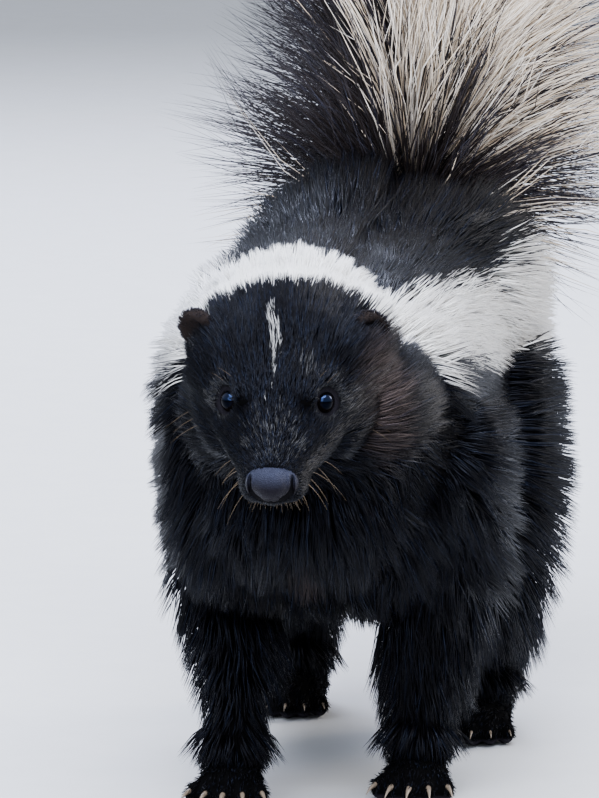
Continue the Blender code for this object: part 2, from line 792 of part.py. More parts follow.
def body_locks(body, frame):
    """The locks of neck and torso, listed by the node they are rooted in."""
    tree = BVHTree.FromObject(body, bpy.context.evaluated_depsgraph_get())
    chance = np.random.default_rng(7)
    locks = {}
    for centre, way in body_rays():
        found = tree.ray_cast(centre, way)
        hit, normal = found[0], found[1]
        if hit is None or (hit - centre).length < 0.012 or hit.z < 0.052:
            continue
        home = home_of(hit, frame)
        if home not in ("neck", "torso"):
            continue
        length = LOCK_LENGTH * chance.uniform(0.88, 1.12)
        width = LOCK_WIDTH * chance.uniform(0.85, 1.1)
        height = coat_at(hit) * chance.uniform(0.92, 1.1)
        swing = math.radians(chance.uniform(-14, 14))
        if home == "neck" and hit.z > 0.15:
            length, width = length * 0.6, width * 0.6
        if hit.z < 0.085:
            length, width = length * 0.7, width * 0.8
        for shorter in (1.0, 0.85, 0.7, 0.55, 0.4):
            size = (length * shorter, width * shorter**0.4, height * shorter**0.5)
            stations = body_lock(tree, hit, normal, *size, swing)
            homes = {home_of(place[0] + place[2] * 0.002, frame) for place in stations[1:]}
            if homes != {home} or not lies_smoothly(stations):
                continue
            made = lock(stations)
            if crosses_itself(made):
                remove([made])
                continue
            locks.setdefault(home, []).append(made)
            break
    return locks


def clear_of_head(obj, frame, head):
    boolean(obj, head_space(frame), "DIFFERENCE")
    return boolean(obj, grown(head, "head_grown", GAP), "DIFFERENCE")


def part_body(body, frame, head):
    """Cuts the whole body into neck, torso and legs, a small gap apart; the first two carry locks."""
    locks = body_locks(body, frame)
    point, facing = NECK_CUT
    neck = clear_of_head(union(copy_of(body, "neck"), locks["neck"]), frame, head)
    boolean(neck, half_space("behind", point + facing * GAP / 2, -facing), "DIFFERENCE")
    nodes = [neck]
    for end, label in FOOT_ALONG:
        leg = copy_of(body, f"leg_{end}_{label}")
        boolean(leg, leg_region("region", end, SIDES[label], -GAP / 2), "INTERSECT")
        boolean(leg, half_space("below", (0, 0, WRIST_HEIGHT + GAP / 2), (0, 0, -1)), "DIFFERENCE")
        nodes.append(leg)
    torso = clear_of_head(union(copy_of(body, "torso"), locks["torso"]), frame, head)
    boolean(torso, half_space("ahead", point - facing * GAP / 2, facing), "DIFFERENCE")
    for end, label in FOOT_ALONG:
        boolean(torso, leg_region("region", end, SIDES[label], GAP / 2), "DIFFERENCE")
    nodes.append(torso)
    remove([body])
    return nodes


def tail_plane():
    """A point on the plane that parts tail and torso, and the tail's way there."""
    return tail_way(tail_rows(16), TAIL_CUT_ALONG / TAIL_LENGTH)


def tail_lock(rows, share, angle, length, width, bend):
    """A straight-grained lock of tail hair from deep in the core to its tip."""
    point, way = tail_way(rows, share)
    side = Vector((1, 0, 0))
    up = side.cross(way).normalized()
    radial = side * math.cos(angle) + up * math.sin(angle)
    lean = tail_lean(share)
    stations = []
    profile = [(0.14, 0.30, 1.0), (0.40, 0.60, 0.9), (0.68, 1.0, 0.6), (0.88, 0.55, 0.4), (1.0, 0, 0)]
    for along, wide, thick in profile:
        turned = lean - bend * along**2
        hair = way * math.cos(turned) + radial * math.sin(turned)
        across = way.cross(radial).normalized()
        out = hair.cross(across).normalized()
        if out.dot(way) < 0:
            out = -out
        stations.append((point + hair * length * along, across, out, width * wide, 0.0060 * thick))
    return lock(stations)


def tail_locks():
    rows = tail_rows(16)
    chance = np.random.default_rng(11)
    locks = []
    for row in range(TAIL_LOCK_ROWS):
        share = 0.18 + 0.76 * row / (TAIL_LOCK_ROWS - 1)
        count = TAIL_LOCKS_ROUND - 2 * (row > 4)
        for k in range(count):
            angle = math.tau * (k + 0.5 * (row % 2) + chance.uniform(-0.12, 0.12)) / count
            length = tail_hair(share) * chance.uniform(0.93, 1.05)
            width = 0.026 * chance.uniform(0.85, 1.1)
            locks.append(tail_lock(rows, share, angle, length, width, chance.uniform(-0.05, 0.25)))
    for k in range(5):
        angle = math.tau * (k + 0.3) / 5
        locks.append(tail_lock(rows, 0.99, angle, tail_hair(1.0) * 0.95, 0.020, 0.38))
    return locks


def make_tail():
    """The raised tail: a short dense core with long locks of hair that fan out from it."""
    tail = tube("tail", tail_outline(0.36), sides=12, steps=11, dome=0.75)
    union(tail, tail_locks())
    point, way = tail_plane()
    return boolean(tail, half_space("under", point + way * GAP / 2, -way), "DIFFERENCE")


def paint(obj, name):
    obj.data.materials.clear()
    obj.data.materials.append(material(name))
    obj.data.shade_smooth()
    obj.data.set_sharp_from_angle(angle=math.radians(50))


def centre_on_floor(nodes):
    """Moves every node so that the middle of the whole model's box is over the origin."""
    bpy.context.view_layer.update()
    points = np.array([tuple(v.co) for obj in nodes for v in obj.data.vertices])
    middle = (points.min(axis=0) + points.max(axis=0)) / 2
    shift = Matrix.Translation((-middle[0], -middle[1], 0))
    for obj in nodes:
        obj.data.transform(shift)
    print("moved by", [round(-float(v), 5) for v in middle[:2]])


def main():
    clear_scene()
    frame = head_frame()
    head = make_head()
    face = [make_nose(head)]
    for label, side in SIDES.items():
        face.append(make_eye(side, label))
        face.append(make_ear(side, label, head))
    for obj in [head, *face]:
        transformed(obj, frame)
    point, facing = NECK_CUT
    boolean(head, half_space("under", point + facing * GAP / 2, -facing), "DIFFERENCE")
    body_nodes = part_body(make_body(frame), frame, head)
    torso = body_nodes[-1]
    point, way = tail_plane()
    boolean(torso, half_space("above", point - way * GAP / 2, way), "DIFFERENCE")
    paws = [make_paw(end, SIDES[label], label) for end, label in FOOT_ALONG]
    nodes = [head, *face, *body_nodes, *paws, make_tail()]
    for obj in nodes:
        if obj.name.startswith("eye"):
            paint(obj, "eye")
        elif obj.name == "nose":
            paint(obj, "nose_leather")
        else:
            paint(obj, "black_fur")
    centre_on_floor(nodes)
    for obj in nodes:
        print(obj.name, len(obj.data.polygons))


main()
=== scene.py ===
# %% [markdown]
# # A young striped skunk
# A museum's model of a small animal is mostly coat: a body of smooth flesh, and over it tens of
# thousands of tapering tufts that all lie one way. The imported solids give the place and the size
# of every form, so they are loaded first and never changed.

# %% Load the solids
import math

import bmesh
import bpy
import numpy as np
from mathutils import Matrix, Vector
from mathutils.kdtree import KDTree


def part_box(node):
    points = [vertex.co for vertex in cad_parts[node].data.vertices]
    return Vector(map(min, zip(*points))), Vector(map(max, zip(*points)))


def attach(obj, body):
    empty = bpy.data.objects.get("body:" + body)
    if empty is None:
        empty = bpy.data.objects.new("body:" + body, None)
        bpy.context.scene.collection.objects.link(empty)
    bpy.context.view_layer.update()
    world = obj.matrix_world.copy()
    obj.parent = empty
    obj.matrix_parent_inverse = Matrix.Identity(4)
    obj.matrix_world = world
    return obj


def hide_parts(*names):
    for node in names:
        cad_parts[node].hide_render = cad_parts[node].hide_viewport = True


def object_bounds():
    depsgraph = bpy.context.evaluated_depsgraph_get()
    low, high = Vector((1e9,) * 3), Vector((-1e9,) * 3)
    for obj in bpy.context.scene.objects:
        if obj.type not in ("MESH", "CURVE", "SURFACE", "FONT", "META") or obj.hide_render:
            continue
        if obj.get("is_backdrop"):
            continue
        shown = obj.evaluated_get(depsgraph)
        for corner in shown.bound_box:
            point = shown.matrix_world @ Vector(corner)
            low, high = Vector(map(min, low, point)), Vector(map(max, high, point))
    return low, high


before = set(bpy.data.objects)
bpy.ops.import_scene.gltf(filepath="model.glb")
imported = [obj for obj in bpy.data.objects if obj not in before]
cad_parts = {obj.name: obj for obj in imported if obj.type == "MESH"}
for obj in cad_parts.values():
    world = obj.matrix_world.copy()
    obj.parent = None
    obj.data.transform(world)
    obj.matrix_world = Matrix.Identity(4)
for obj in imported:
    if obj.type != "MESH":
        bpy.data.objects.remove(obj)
cad_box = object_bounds()
print("solids", len(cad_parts), "box", [round(b - a, 4) for a, b in zip(*cad_box)])

# %% [markdown]
# # The animal's own measures
# The same named sizes that drive the solids are used again here, in metres. A ring of flesh is its
# centre, half its width and half its height. The animal faces -Y and its left side is +X. The head
# has its own axes, with the midpoint of the eyes as origin, because everything on a face is easier
# to place from the nose or the eyes than from the floor.

# %% Named sizes
EYE_SPACING = 0.029
EYE_RADIUS = 0.0042
EYES_AT = Vector((-0.0043, -0.075, 0.136))
EYES_LOOK = (math.radians(38), math.radians(24))
HEAD_TURN, HEAD_DROP = math.radians(3), math.radians(33)
SNOUT_LENGTH, NOSE_BELOW_EYES = 0.028, 0.009
PAD_AT = (-0.0016, -0.0030)
SIDES = {"left": 1, "right": -1}
FOOT_SPREAD = {"front": 0.028, "hind": 0.034}
FEET = {
    ("front", "left"): 0.008,
    ("front", "right"): -0.012,
    ("hind", "left"): 0.110,
    ("hind", "right"): 0.150,
}
TOES = 5
TAIL_ROOT = Vector((-0.001, 0.176, 0.150))
TAIL_LENGTH, TAIL_HAIR = 0.165, 0.095
TAIL_CORE = (0.0075, 0.0030)
TAIL_RISE = (math.radians(35), math.radians(72))
TORSO = [
    (-0.002, -0.034, 0.109, 0.027, 0.028),
    (-0.004, -0.015, 0.108, 0.039, 0.040),
    (-0.007, 0.020, 0.1115, 0.043, 0.0455),
    (-0.0075, 0.060, 0.1135, 0.0435, 0.0455),
    (-0.006, 0.105, 0.1190, 0.0405, 0.0435),
    (-0.003, 0.142, 0.1275, 0.0385, 0.0395),
    (-0.001, 0.168, 0.132, 0.032, 0.031),
    (-0.001, 0.184, 0.136, 0.020, 0.020),
]
TORSO_SQUARE = 3.3
NECK = [
    (-0.005, -0.050, 0.1425, 0.0255, 0.018),
    (-0.004, -0.038, 0.1312, 0.0325, 0.026),
    (-0.001, -0.014, 0.117, 0.034, 0.034),
    (0.000, 0.010, 0.108, 0.034, 0.036),
]
# The head's rings: distance behind the nose tip, top, bottom, half width
HEAD = [
    (0.002, 0.0008, -0.0085, 0.0060),
    (0.006, 0.0036, -0.0108, 0.0080),
    (0.012, 0.0068, -0.0132, 0.0108),
    (0.019, 0.0106, -0.0150, 0.0143),
    (0.026, 0.0150, -0.0166, 0.0182),
    (0.034, 0.0200, -0.0182, 0.0222),
    (0.044, 0.0222, -0.0194, 0.0244),
    (0.055, 0.0228, -0.0188, 0.0256),
    (0.067, 0.0196, -0.0178, 0.0246),
    (0.078, 0.0164, -0.0160, 0.0226),
]


# %% The head's own axes
def head_frame():
    place = Matrix.Translation(EYES_AT) @ Matrix.Rotation(HEAD_TURN, 4, "Z")
    return place @ Matrix.Rotation(HEAD_DROP, 4, "X")


def in_head(x, back_of_nose, above_nose):
    """A point in the head's axes from its place to the left, behind and above the nose tip."""
    return Vector((x, back_of_nose - SNOUT_LENGTH, above_nose - NOSE_BELOW_EYES))


def head_rows(less=0.0):
    """The head's rings of flesh in its own axes, each drawn in by less."""
    rows = []
    for back, top, bottom, half in HEAD:
        middle = in_head(0, back, (top + bottom) / 2)
        rows.append((*middle, half - less, (top - bottom) / 2 - less))
    return rows


def way_of(turn, rise):
    """The way that leads from -Y towards +X by turn and up by rise."""
    level = math.cos(rise)
    return Vector((math.sin(turn) * level, -math.cos(turn) * level, math.sin(rise)))


def eye_centre(side):
    return Vector((side * (EYE_SPACING / 2 - 0.0012), 0.0024, -0.0014))


def eye_facing(side):
    return way_of(side * EYES_LOOK[0], EYES_LOOK[1])


# %% [markdown]
# # From the maker's place to the row's place
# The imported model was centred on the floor, so it stands a little off the place these measures are
# given in. The two eyes are round and sharp, so the middle between their boxes tells how far it
# moved, and every finished piece is moved by that much.

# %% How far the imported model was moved
eye_boxes = [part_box("eye_left"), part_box("eye_right")]
eyes_packed = sum((low + high for low, high in eye_boxes), Vector()) / 4
eyes_own = head_frame() @ Vector((0, 0.0022, -0.0008))
SHIFT = eyes_packed - eyes_own
print("moved by", [round(v, 5) for v in SHIFT])

# %% [markdown]
# # The camera
# The photograph looks the animal in the face from a little above and from its left. Two sizes of
# the same thing at two depths, the head and the feet, put the lens about 2.4 m away, so it is a
# long lens. The eyes' midpoint has to land at its own pixel, so the aim is set off from it.

# %% Camera
PHOTO_WIDTH, PHOTO_HEIGHT = 599, 798
METRES_PER_PIXEL = 0.305e-3
CAMERA_DISTANCE = 2.4
CAMERA_TURN, CAMERA_RISE = math.radians(9), math.radians(8)
EYES_PIXEL = (276.5, 402.5)
SENSOR = 36


def object_of(name, data):
    """A new object in the scene that holds this mesh, camera or lamp."""
    obj = bpy.data.objects.new(name, data)
    bpy.context.scene.collection.objects.link(obj)
    return obj


def place_camera():
    back = way_of(CAMERA_TURN, CAMERA_RISE)
    right = Vector((math.cos(CAMERA_TURN), math.sin(CAMERA_TURN), 0))
    up = back.cross(right)
    aim = EYES_AT + SHIFT
    aim += right * (PHOTO_WIDTH / 2 - EYES_PIXEL[0]) * METRES_PER_PIXEL
    aim += up * (EYES_PIXEL[1] - PHOTO_HEIGHT / 2) * METRES_PER_PIXEL
    lens = bpy.data.cameras.new("portrait_lens")
    lens.sensor_fit = "VERTICAL"
    lens.sensor_height = SENSOR
    lens.lens = SENSOR * CAMERA_DISTANCE / METRES_PER_PIXEL / PHOTO_HEIGHT
    lens.clip_end = 50
    camera = object_of("portrait_lens", lens)
    camera.location = aim + back * CAMERA_DISTANCE
    camera.rotation_euler = back.to_track_quat("Z", "Y").to_euler()
    bpy.context.scene.camera = camera
    return camera


camera = place_camera()
print("lens", round(camera.data.lens, 1), "mm")

# %% [markdown]
# # Tools for closed forms
# Flesh is made as a modeller makes a clay figure: round forms along a few rings, pressed together
# until no join is left. A voxel remesh does the pressing, because it gives one closed surface
# whatever crosses inside it. A Boolean union joins a fine face to a coarser body, so that points
# are spent where they are looked at.


# %% Meshes
def mesh_from(name, build):
    """A new object whose mesh the function build makes in a bmesh."""
    work = bmesh.new()
    build(work)
    bmesh.ops.recalc_face_normals(work, faces=work.faces)
    mesh = bpy.data.meshes.new(name)
    work.to_mesh(mesh)
    work.free()
    return object_of(name, mesh)


def apply_modifiers(obj):
    bpy.context.view_layer.update()
    graph = bpy.context.evaluated_depsgraph_get()
    mesh = bpy.data.meshes.new_from_object(obj.evaluated_get(graph))
    obj.modifiers.clear()
    obj.data = mesh
    return obj


def ellipsoid(name, centre, radii, turn=None, segments=32, rings=20):
    place = Matrix.Translation(centre) @ (turn or Matrix.Identity(4)) @ Matrix.Diagonal((*radii, 1))

    def build(work):
        bmesh.ops.create_uvsphere(
            work, u_segments=segments, v_segments=rings, radius=1, matrix=place
        )

    return mesh_from(name, build)


# %% A form along rings
def curve_through(rows, count):
    """count + 1 rows of numbers on one smooth curve through the given rows."""
    rows = np.array(rows, float)
    ends = np.vstack([2 * rows[0] - rows[1], rows, 2 * rows[-1] - rows[-2]])
    made = []
    for step in np.linspace(0, len(rows) - 1, count + 1):
        i = min(int(step), len(rows) - 2)
        t = step - i
        a, b, c, d = ends[i : i + 4]
        bend = (2 * a - 5 * b + 4 * c - d) * t * t + (3 * b - a - 3 * c + d) * t**3
        made.append(0.5 * (2 * b + (c - a) * t + bend))
    return np.array(made)


def bridge(work, loops, closed=True):
    """Faces between each loop of points and the next, right round or as an open strip."""
    for near, far in zip(loops, loops[1:]):
        for i in range(len(near) if closed else len(near) - 1):
            j = (i + 1) % len(near)
            work.faces.new((near[i], near[j], far[j], far[i]))


DOME_STEPS = (30, 60, 85)


def tube(name, rows, sides=32, steps=32, dome=0.7, square=2.0):
    """A closed form along rings of flesh, with domed ends; above 2, square fills its corners."""
    rows = curve_through(rows, steps)
    centres = [Vector(row[:3]) for row in rows]
    stations = []
    for i, centre in enumerate(centres):
        way = centres[min(i + 1, steps)] - centres[max(i - 1, 0)]
        stations.append((centre, way.normalized(), rows[i, 3], rows[i, 4]))
    first, last = stations[0], stations[-1]
    for angle in DOME_STEPS:
        lift, shrink = math.sin(math.radians(angle)), math.cos(math.radians(angle))
        for (centre, way, wide, tall), sign in ((first, -1), (last, 1)):
            tip = centre + way * sign * dome * min(wide, tall) * lift
            made = (tip, way, wide * shrink, tall * shrink)
            stations = [made] + stations if sign < 0 else stations + [made]

    def build(work):
        loops = []
        for centre, way, wide, tall in stations:
            side = (Vector((1, 0, 0)) - way * way.x).normalized()
            up = side.cross(way)
            loop = []
            for k in range(sides):
                across, rise = math.cos(math.tau * k / sides), math.sin(math.tau * k / sides)
                across = math.copysign(abs(across) ** (2 / square), across)
                rise = math.copysign(abs(rise) ** (2 / square), rise)
                loop.append(work.verts.new(centre + side * wide * across + up * tall * rise))
            loops.append(loop)
        bridge(work, loops)
        work.faces.new(loops[0])
        work.faces.new(loops[-1])

    return mesh_from(name, build)


# %% Join, fuse and cut
def remove(objects):
    for obj in objects:
        bpy.data.objects.remove(obj, do_unlink=True)


def joined(name, parts):
    work = bmesh.new()
    for part in parts:
        work.from_mesh(part.data)
    mesh = bpy.data.meshes.new(name)
    work.to_mesh(mesh)
    work.free()
    remove(parts)
    return object_of(name, mesh)


def fused(name, parts, voxel, smoothing):
    """One smooth closed surface round parts that cross."""
    obj = joined(name, parts)
    press = obj.modifiers.new("press", "REMESH")
    press.mode = "VOXEL"
    press.voxel_size = voxel
    soften = obj.modifiers.new("soften", "SMOOTH")
    soften.factor = 0.5
    soften.iterations = smoothing
    return apply_modifiers(obj)


def boolean(obj, other, operation, solver="MANIFOLD"):
    cut = obj.modifiers.new("cut", "BOOLEAN")
    cut.operation = operation
    cut.solver = solver
    cut.object = other
    apply_modifiers(obj)
    remove([other])
    return obj


# %% [markdown]
# # The head under the coat
# A skunk's head is a blunt wedge: a short muzzle, a flat brow and low round ears at the sides of a
# broad skull. The skull and muzzle come from rings behind the nose tip. Ellipsoids add the pads of
# the upper lip that carry the whiskers, the brow over each eye, the cheek and the chin, and a
# sphere presses a shallow orbit in front of each eye, so that the eye looks out of a socket and not
# off a ball. A ring of skin round the eye is its lids.


# %% Ears
EAR_AT, EAR_SIZE = (0.0264, 0.0545, 0.0156), (0.0064, 0.0034, 0.0078)
EAR_SPLAY = math.radians(24)


def ear_place(side):
    x, back, high = EAR_AT
    turn = Matrix.Rotation(side * EAR_SPLAY, 4, "Z") @ Matrix.Rotation(side * -EAR_SPLAY, 4, "Y")
    return in_head(side * x, back, high), turn


def make_ear(side):
    """A low round ear, cupped in front, with a rolled rim and a fold inside its lower edge."""
    centre, turn = ear_place(side)

    def lobe(name, x, y, z, size):
        return ellipsoid(name, centre + turn @ Vector((side * x, y, z)), size, turn)

    ear = ellipsoid("ear", centre, EAR_SIZE, turn)
    cup = lobe("cup", 0.0005, -0.0032, -0.0002, (0.0052, 0.0040, 0.0054))
    boolean(ear, cup, "DIFFERENCE")
    return [ear, lobe("fold", -0.0020, -0.0006, -0.0026, (0.0014, 0.0018, 0.0034))]


# %% Lids
# Distance from the eye's axis and height along it, in mm, round a section through a lid
LID_SECTION = [(3.60, 1.6), (3.50, 2.15), (3.54, 2.45), (3.66, 2.52), (3.95, 2.30), (4.6, 1.75)]
LID_SECTION += [(5.2, 0.9), (5.5, -0.2), (4.5, -0.8), (3.8, 0.2)]


def lid_ring(side, segments=72):
    """The two lids as one low mound of skin round the eyeball."""
    centre = eye_centre(side)
    turn = eye_facing(side).to_track_quat("Z", "Y").to_matrix().to_4x4()

    def build(work):
        loops = []
        for i in range(segments):
            a = math.tau * i / segments
            brow = 0.00020 * max(0.0, math.sin(a))
            loop = []
            for far, high in LID_SECTION:
                x, y = math.cos(a) * far * 1e-3, math.sin(a) * far * 1e-3
                loop.append(work.verts.new(centre + turn @ Vector((x, y, high * 1e-3 + brow))))
            loops.append(loop)
        bridge(work, loops + loops[:1])

    return mesh_from("lids", build)


# %% Head
# Forms on each side of the skull: place beside, behind and above the nose tip, and size
FACE_FORMS = [
    ("lip", 0.0050, 0.0105, -0.0062, (0.0052, 0.0095, 0.0050)),
    ("brow", 0.0104, 0.0320, 0.0140, (0.0072, 0.0100, 0.0030)),
    ("cheek", 0.0150, 0.0470, -0.0065, (0.0104, 0.0210, 0.0126)),
]
ORBIT_RADIUS, ORBIT_AHEAD = 0.0084, 0.0100


def make_head():
    parts = [tube("skull", head_rows(), sides=48, steps=56)]
    for side in SIDES.values():
        for name, x, back, high, size in FACE_FORMS:
            parts.append(ellipsoid(name, in_head(side * x, back, high), size))
        parts += make_ear(side)
    parts.append(ellipsoid("chin", in_head(0, 0.0150, -0.0128), (0.0056, 0.0078, 0.0040)))
    head = fused("head", parts, voxel=0.0008, smoothing=6)
    for side in SIDES.values():
        outside = Vector((side * 0.0012, 0.0006, 0))
        centre = eye_centre(side) + eye_facing(side) * ORBIT_AHEAD + outside
        boolean(head, ellipsoid("orbit", centre, [ORBIT_RADIUS] * 3), "DIFFERENCE")
    head = fused("head", [head], voxel=0.0007, smoothing=10)
    for side in SIDES.values():
        boolean(head, lid_ring(side), "UNION")
    return head


head_form = make_head()
print("head", len(head_form.data.vertices), "points")

# %% [markdown]
# # The line of the mouth
# The mouth is a soft crease from under the nose pad to below the eye. A hard cut would look sawn,
# so the points within a millimetre of the crease are drawn inwards, deepest on the line itself.


# %% Mouth
MOUTH_LENGTH, MOUTH_FADE = 0.0215, 0.012
MOUTH_HALF_WIDTH, MOUTH_DEPTH = 0.0010, 0.0010


def press_mouth(head):
    front, corner = in_head(0, 0.0040, -0.0096), in_head(0, 0.0220, -0.0098)
    along = (corner - front).normalized()
    up = Vector((1, 0, 0)).cross(along)
    middle = in_head(0, 0.016, -0.0098)
    count = 0
    for vertex in head.data.vertices:
        away = vertex.co - front
        off = away.dot(up)
        if abs(off) > MOUTH_HALF_WIDTH or not -0.004 < away.dot(along) < MOUTH_LENGTH:
            continue
        fade = min(1.0, (MOUTH_LENGTH - away.dot(along)) / MOUTH_FADE)
        depth = MOUTH_DEPTH * fade * (1 - (off / MOUTH_HALF_WIDTH) ** 2)
        inward = (middle - vertex.co).normalized()
        vertex.co += (inward - up * inward.dot(up)) * depth
        count += 1
    return count


print("mouth crease", press_mouth(head_form), "points")

# %% [markdown]
# # The body under the coat
# Neck, torso, legs and tail are one run of flesh. The feet have five toes each and broad flat
# soles, as an animal that walks on its whole foot has, and they are made finer because a toe is
# only 6 mm wide. All of it is then one skin, without a seam at neck, leg or wrist.


# %% Legs and tail
def leg_rows(end, side, along):
    x = side * FOOT_SPREAD[end]
    if end == "front":
        return [
            (side * 0.030, 0.004, 0.112, 0.016, 0.022),
            (side * 0.032, 0.010, 0.080, 0.015, 0.018),
            (side * 0.030, 0.4 * along + 0.008, 0.055, 0.0120, 0.0125),
            (x, along + 0.002, 0.030, 0.0085, 0.0095),
            (x, along, 0.012, 0.0080, 0.0088),
        ]
    return [
        (side * 0.029, 0.128, 0.112, 0.016, 0.030),
        (side * 0.033, 0.5 * along + 0.058, 0.082, 0.0150, 0.0250),
        (side * 0.035, 0.8 * along + 0.018, 0.055, 0.0130, 0.0165),
        (x, along + 0.012, 0.030, 0.0098, 0.0115),
        (x, along + 0.008, 0.012, 0.0082, 0.0105),
    ]


def tail_rows(count=16):
    rows, point = [], TAIL_ROOT.copy()
    for i in range(count + 1):
        share = i / count
        rise = TAIL_RISE[0] + (TAIL_RISE[1] - TAIL_RISE[0]) * share
        radius = TAIL_CORE[0] * (1 - share) + TAIL_CORE[1] * share
        rows.append((*point, radius, radius))
        point += Vector((0, math.cos(rise), math.sin(rise))) * TAIL_LENGTH / count
    return rows


# %% Paws
def toe_place(end, label, toe):
    """A toe's root, its way and its reach: the five fan out from the palm."""
    side, along = SIDES[label], FEET[end, label]
    fan = (toe - 2) / 2
    angle = fan * math.radians(24) * side
    way = Vector((math.sin(angle), -math.cos(angle), 0))
    x = side * (FOOT_SPREAD[end] + fan * 0.0078)
    root = Vector((x, along - 0.0125 + 0.0042 * abs(fan) ** 1.5, 0.0042))
    return root, way, 0.0085 * (1 - 0.18 * abs(fan))


def make_paw(end, label):
    x, along = SIDES[label] * FOOT_SPREAD[end], FEET[end, label]
    hind = end == "hind"
    ankle = (x, along + (0.008 if hind else 0.0), 0.017)
    parts = [
        ellipsoid("ankle", ankle, (0.0100, 0.0125 if hind else 0.0108, 0.014)),
        ellipsoid("palm", (x, along - 0.007, 0.0062), (0.0104, 0.0120, 0.0078)),
    ]
    if hind:
        parts.append(ellipsoid("heel", (x, along + 0.012, 0.0068), (0.0088, 0.0126, 0.0082)))
    for toe in range(TOES):
        root, way, reach = toe_place(end, label, toe)
        turn = way.to_track_quat("Y", "Z").to_matrix().to_4x4()
        parts.append(ellipsoid("toe", root + way * reach * 0.5, (0.0031, 0.0068, 0.0042), turn))
    return fused("paw", parts, voxel=0.0008, smoothing=3)


# %% One skin
def make_skin(head):
    head.data.transform(head_frame())
    # A smaller skull inside the fine head carries the neck's flesh into it
    skull = tube("inner_skull", head_rows(less=0.0022)[5:], sides=32, steps=16)
    skull.data.transform(head_frame())
    parts = [
        tube("torso", TORSO, steps=40, square=TORSO_SQUARE),
        tube("neck", NECK, steps=20, dome=0.4),
        tube("tail_core", tail_rows(), sides=16, steps=40),
        skull,
    ]
    for (end, label), along in FEET.items():
        parts.append(tube("leg", leg_rows(end, SIDES[label], along), sides=24, steps=20))
    body = fused("skin", parts, voxel=0.0024, smoothing=8)
    for end, label in FEET:
        boolean(body, make_paw(end, label), "UNION")
    boolean(body, head, "UNION")
    return body


skin = make_skin(head_form)
print("skin", len(skin.data.vertices), "points")

# %% [markdown]
# # Soften the joins
# A union leaves a sharp line where the fine face meets the coarser neck and where the feet meet the
# legs. Each point near such a line is drawn to the middle of its neighbours a few times, and no
# point may fall below the floor, which also makes the soles flat.


# %% Soften
def to_head(points):
    """Places in the model as places in the head's own axes."""
    place = np.array(head_frame())
    return (points - place[:3, 3]) @ place[:3, :3]


def points_of(mesh):
    points = np.empty(len(mesh.vertices) * 3)
    mesh.vertices.foreach_get("co", points)
    return points.reshape(-1, 3)


def soften_joins(obj):
    work = bmesh.new()
    work.from_mesh(obj.data)
    points = points_of(obj.data)
    own = to_head(points)
    neck = np.abs(own[:, 1] - 0.044) < 0.016
    neck &= np.linalg.norm(own - (0, 0.04, -0.006), axis=1) < 0.042
    ankle = (points[:, 2] > 0.014) & (points[:, 2] < 0.036)
    work.verts.ensure_lookup_table()
    near = [work.verts[i] for i in np.flatnonzero(neck | ankle)]
    for _ in range(8):
        bmesh.ops.smooth_vert(
            work, verts=near, factor=0.5, use_axis_x=True, use_axis_y=True, use_axis_z=True
        )
    for vertex in work.verts:
        vertex.co.z = max(vertex.co.z, 0.0)
    work.to_mesh(obj.data)
    work.free()
    obj.data.shade_smooth()
    return len(near)


print("softened", soften_joins(skin), "points")

# %% [markdown]
# # Markings
# A striped skunk is black with a white cap on its nape. The cap parts into two stripes that run
# back along the flanks, and a thin white streak runs down the brow. The same rule has to colour
# the skin and the hair that grows from it, so it is a function of a place on the body and not a
# painted picture. Real stripes have a ragged edge, so each border is moved to and fro by a few
# waves of different length.

# %% Where the coat is white
# Tables give the spine's height, the stripe's lower edge and its upper edge in degrees, along Y
SPINE = [(-0.060, 0.146), (-0.038, 0.130), (-0.014, 0.116), (0.020, 0.1115), (0.060, 0.1135)]
SPINE += [(0.105, 0.119), (0.142, 0.1275), (0.168, 0.132), (0.184, 0.136)]
STRIPE_FOOT = [(-0.055, 0.146), (-0.010, 0.139), (0.040, 0.137), (0.090, 0.131)]
STRIPE_FOOT += [(0.150, 0.123), (0.185, 0.127)]
STRIPE_TOP = [(-0.030, 120), (-0.016, 78), (0.010, 62), (0.040, 54), (0.090, 46)]
STRIPE_TOP += [(0.150, 42), (0.175, 38)]
STRIPE_END = (0.178, 0.196)


def along_table(values, table):
    return np.interp(values, [row[0] for row in table], [row[1] for row in table])


def soft(value, low, high):
    """0 below low, 1 above high, and a smooth change between them."""
    share = np.clip((value - low) / (high - low), 0, 1)
    return share * share * (3 - 2 * share)


def ripple(points, size, seed):
    """A smooth field between about -1 and 1 that changes over that distance."""
    chance = np.random.default_rng(seed)
    total = np.zeros(len(points))
    for _ in range(7):
        wave = chance.normal(size=3)
        wave *= math.tau / size * chance.uniform(0.6, 1.4) / np.linalg.norm(wave)
        total += np.sin(points @ wave + chance.uniform(0, math.tau))
    return total / 3.5


def white_cap(points):
    """The nape's cap and the stripe that each half of it runs into."""
    across, along, high = points.T
    rise = np.degrees(np.arctan2(high - along_table(along, SPINE), np.abs(across + 0.005)))
    jag = 0.0022 * ripple(points, 0.011, 3) + 0.0010 * ripple(points, 0.004, 4)
    foot, top = along_table(along, STRIPE_FOOT), along_table(along, STRIPE_TOP)
    white = soft(high + jag, foot - 0.003, foot + 0.003)
    white = white * (1 - soft(rise + 1100 * jag, top - 4, top + 4))
    white = white * soft(to_head(points)[:, 1] + 0.7 * jag, 0.0300, 0.0335)
    return white * (1 - soft(along, *STRIPE_END))


# %% The brow's streak and the grey hairs
# Half the streak's width along the brow
BLAZE = [(-0.009, 0), (-0.004, 0.0001), (0.002, 0.0003), (0.007, 0.0009), (0.013, 0.0013)]
BLAZE += [(0.017, 0.0006), (0.0195, 0)]


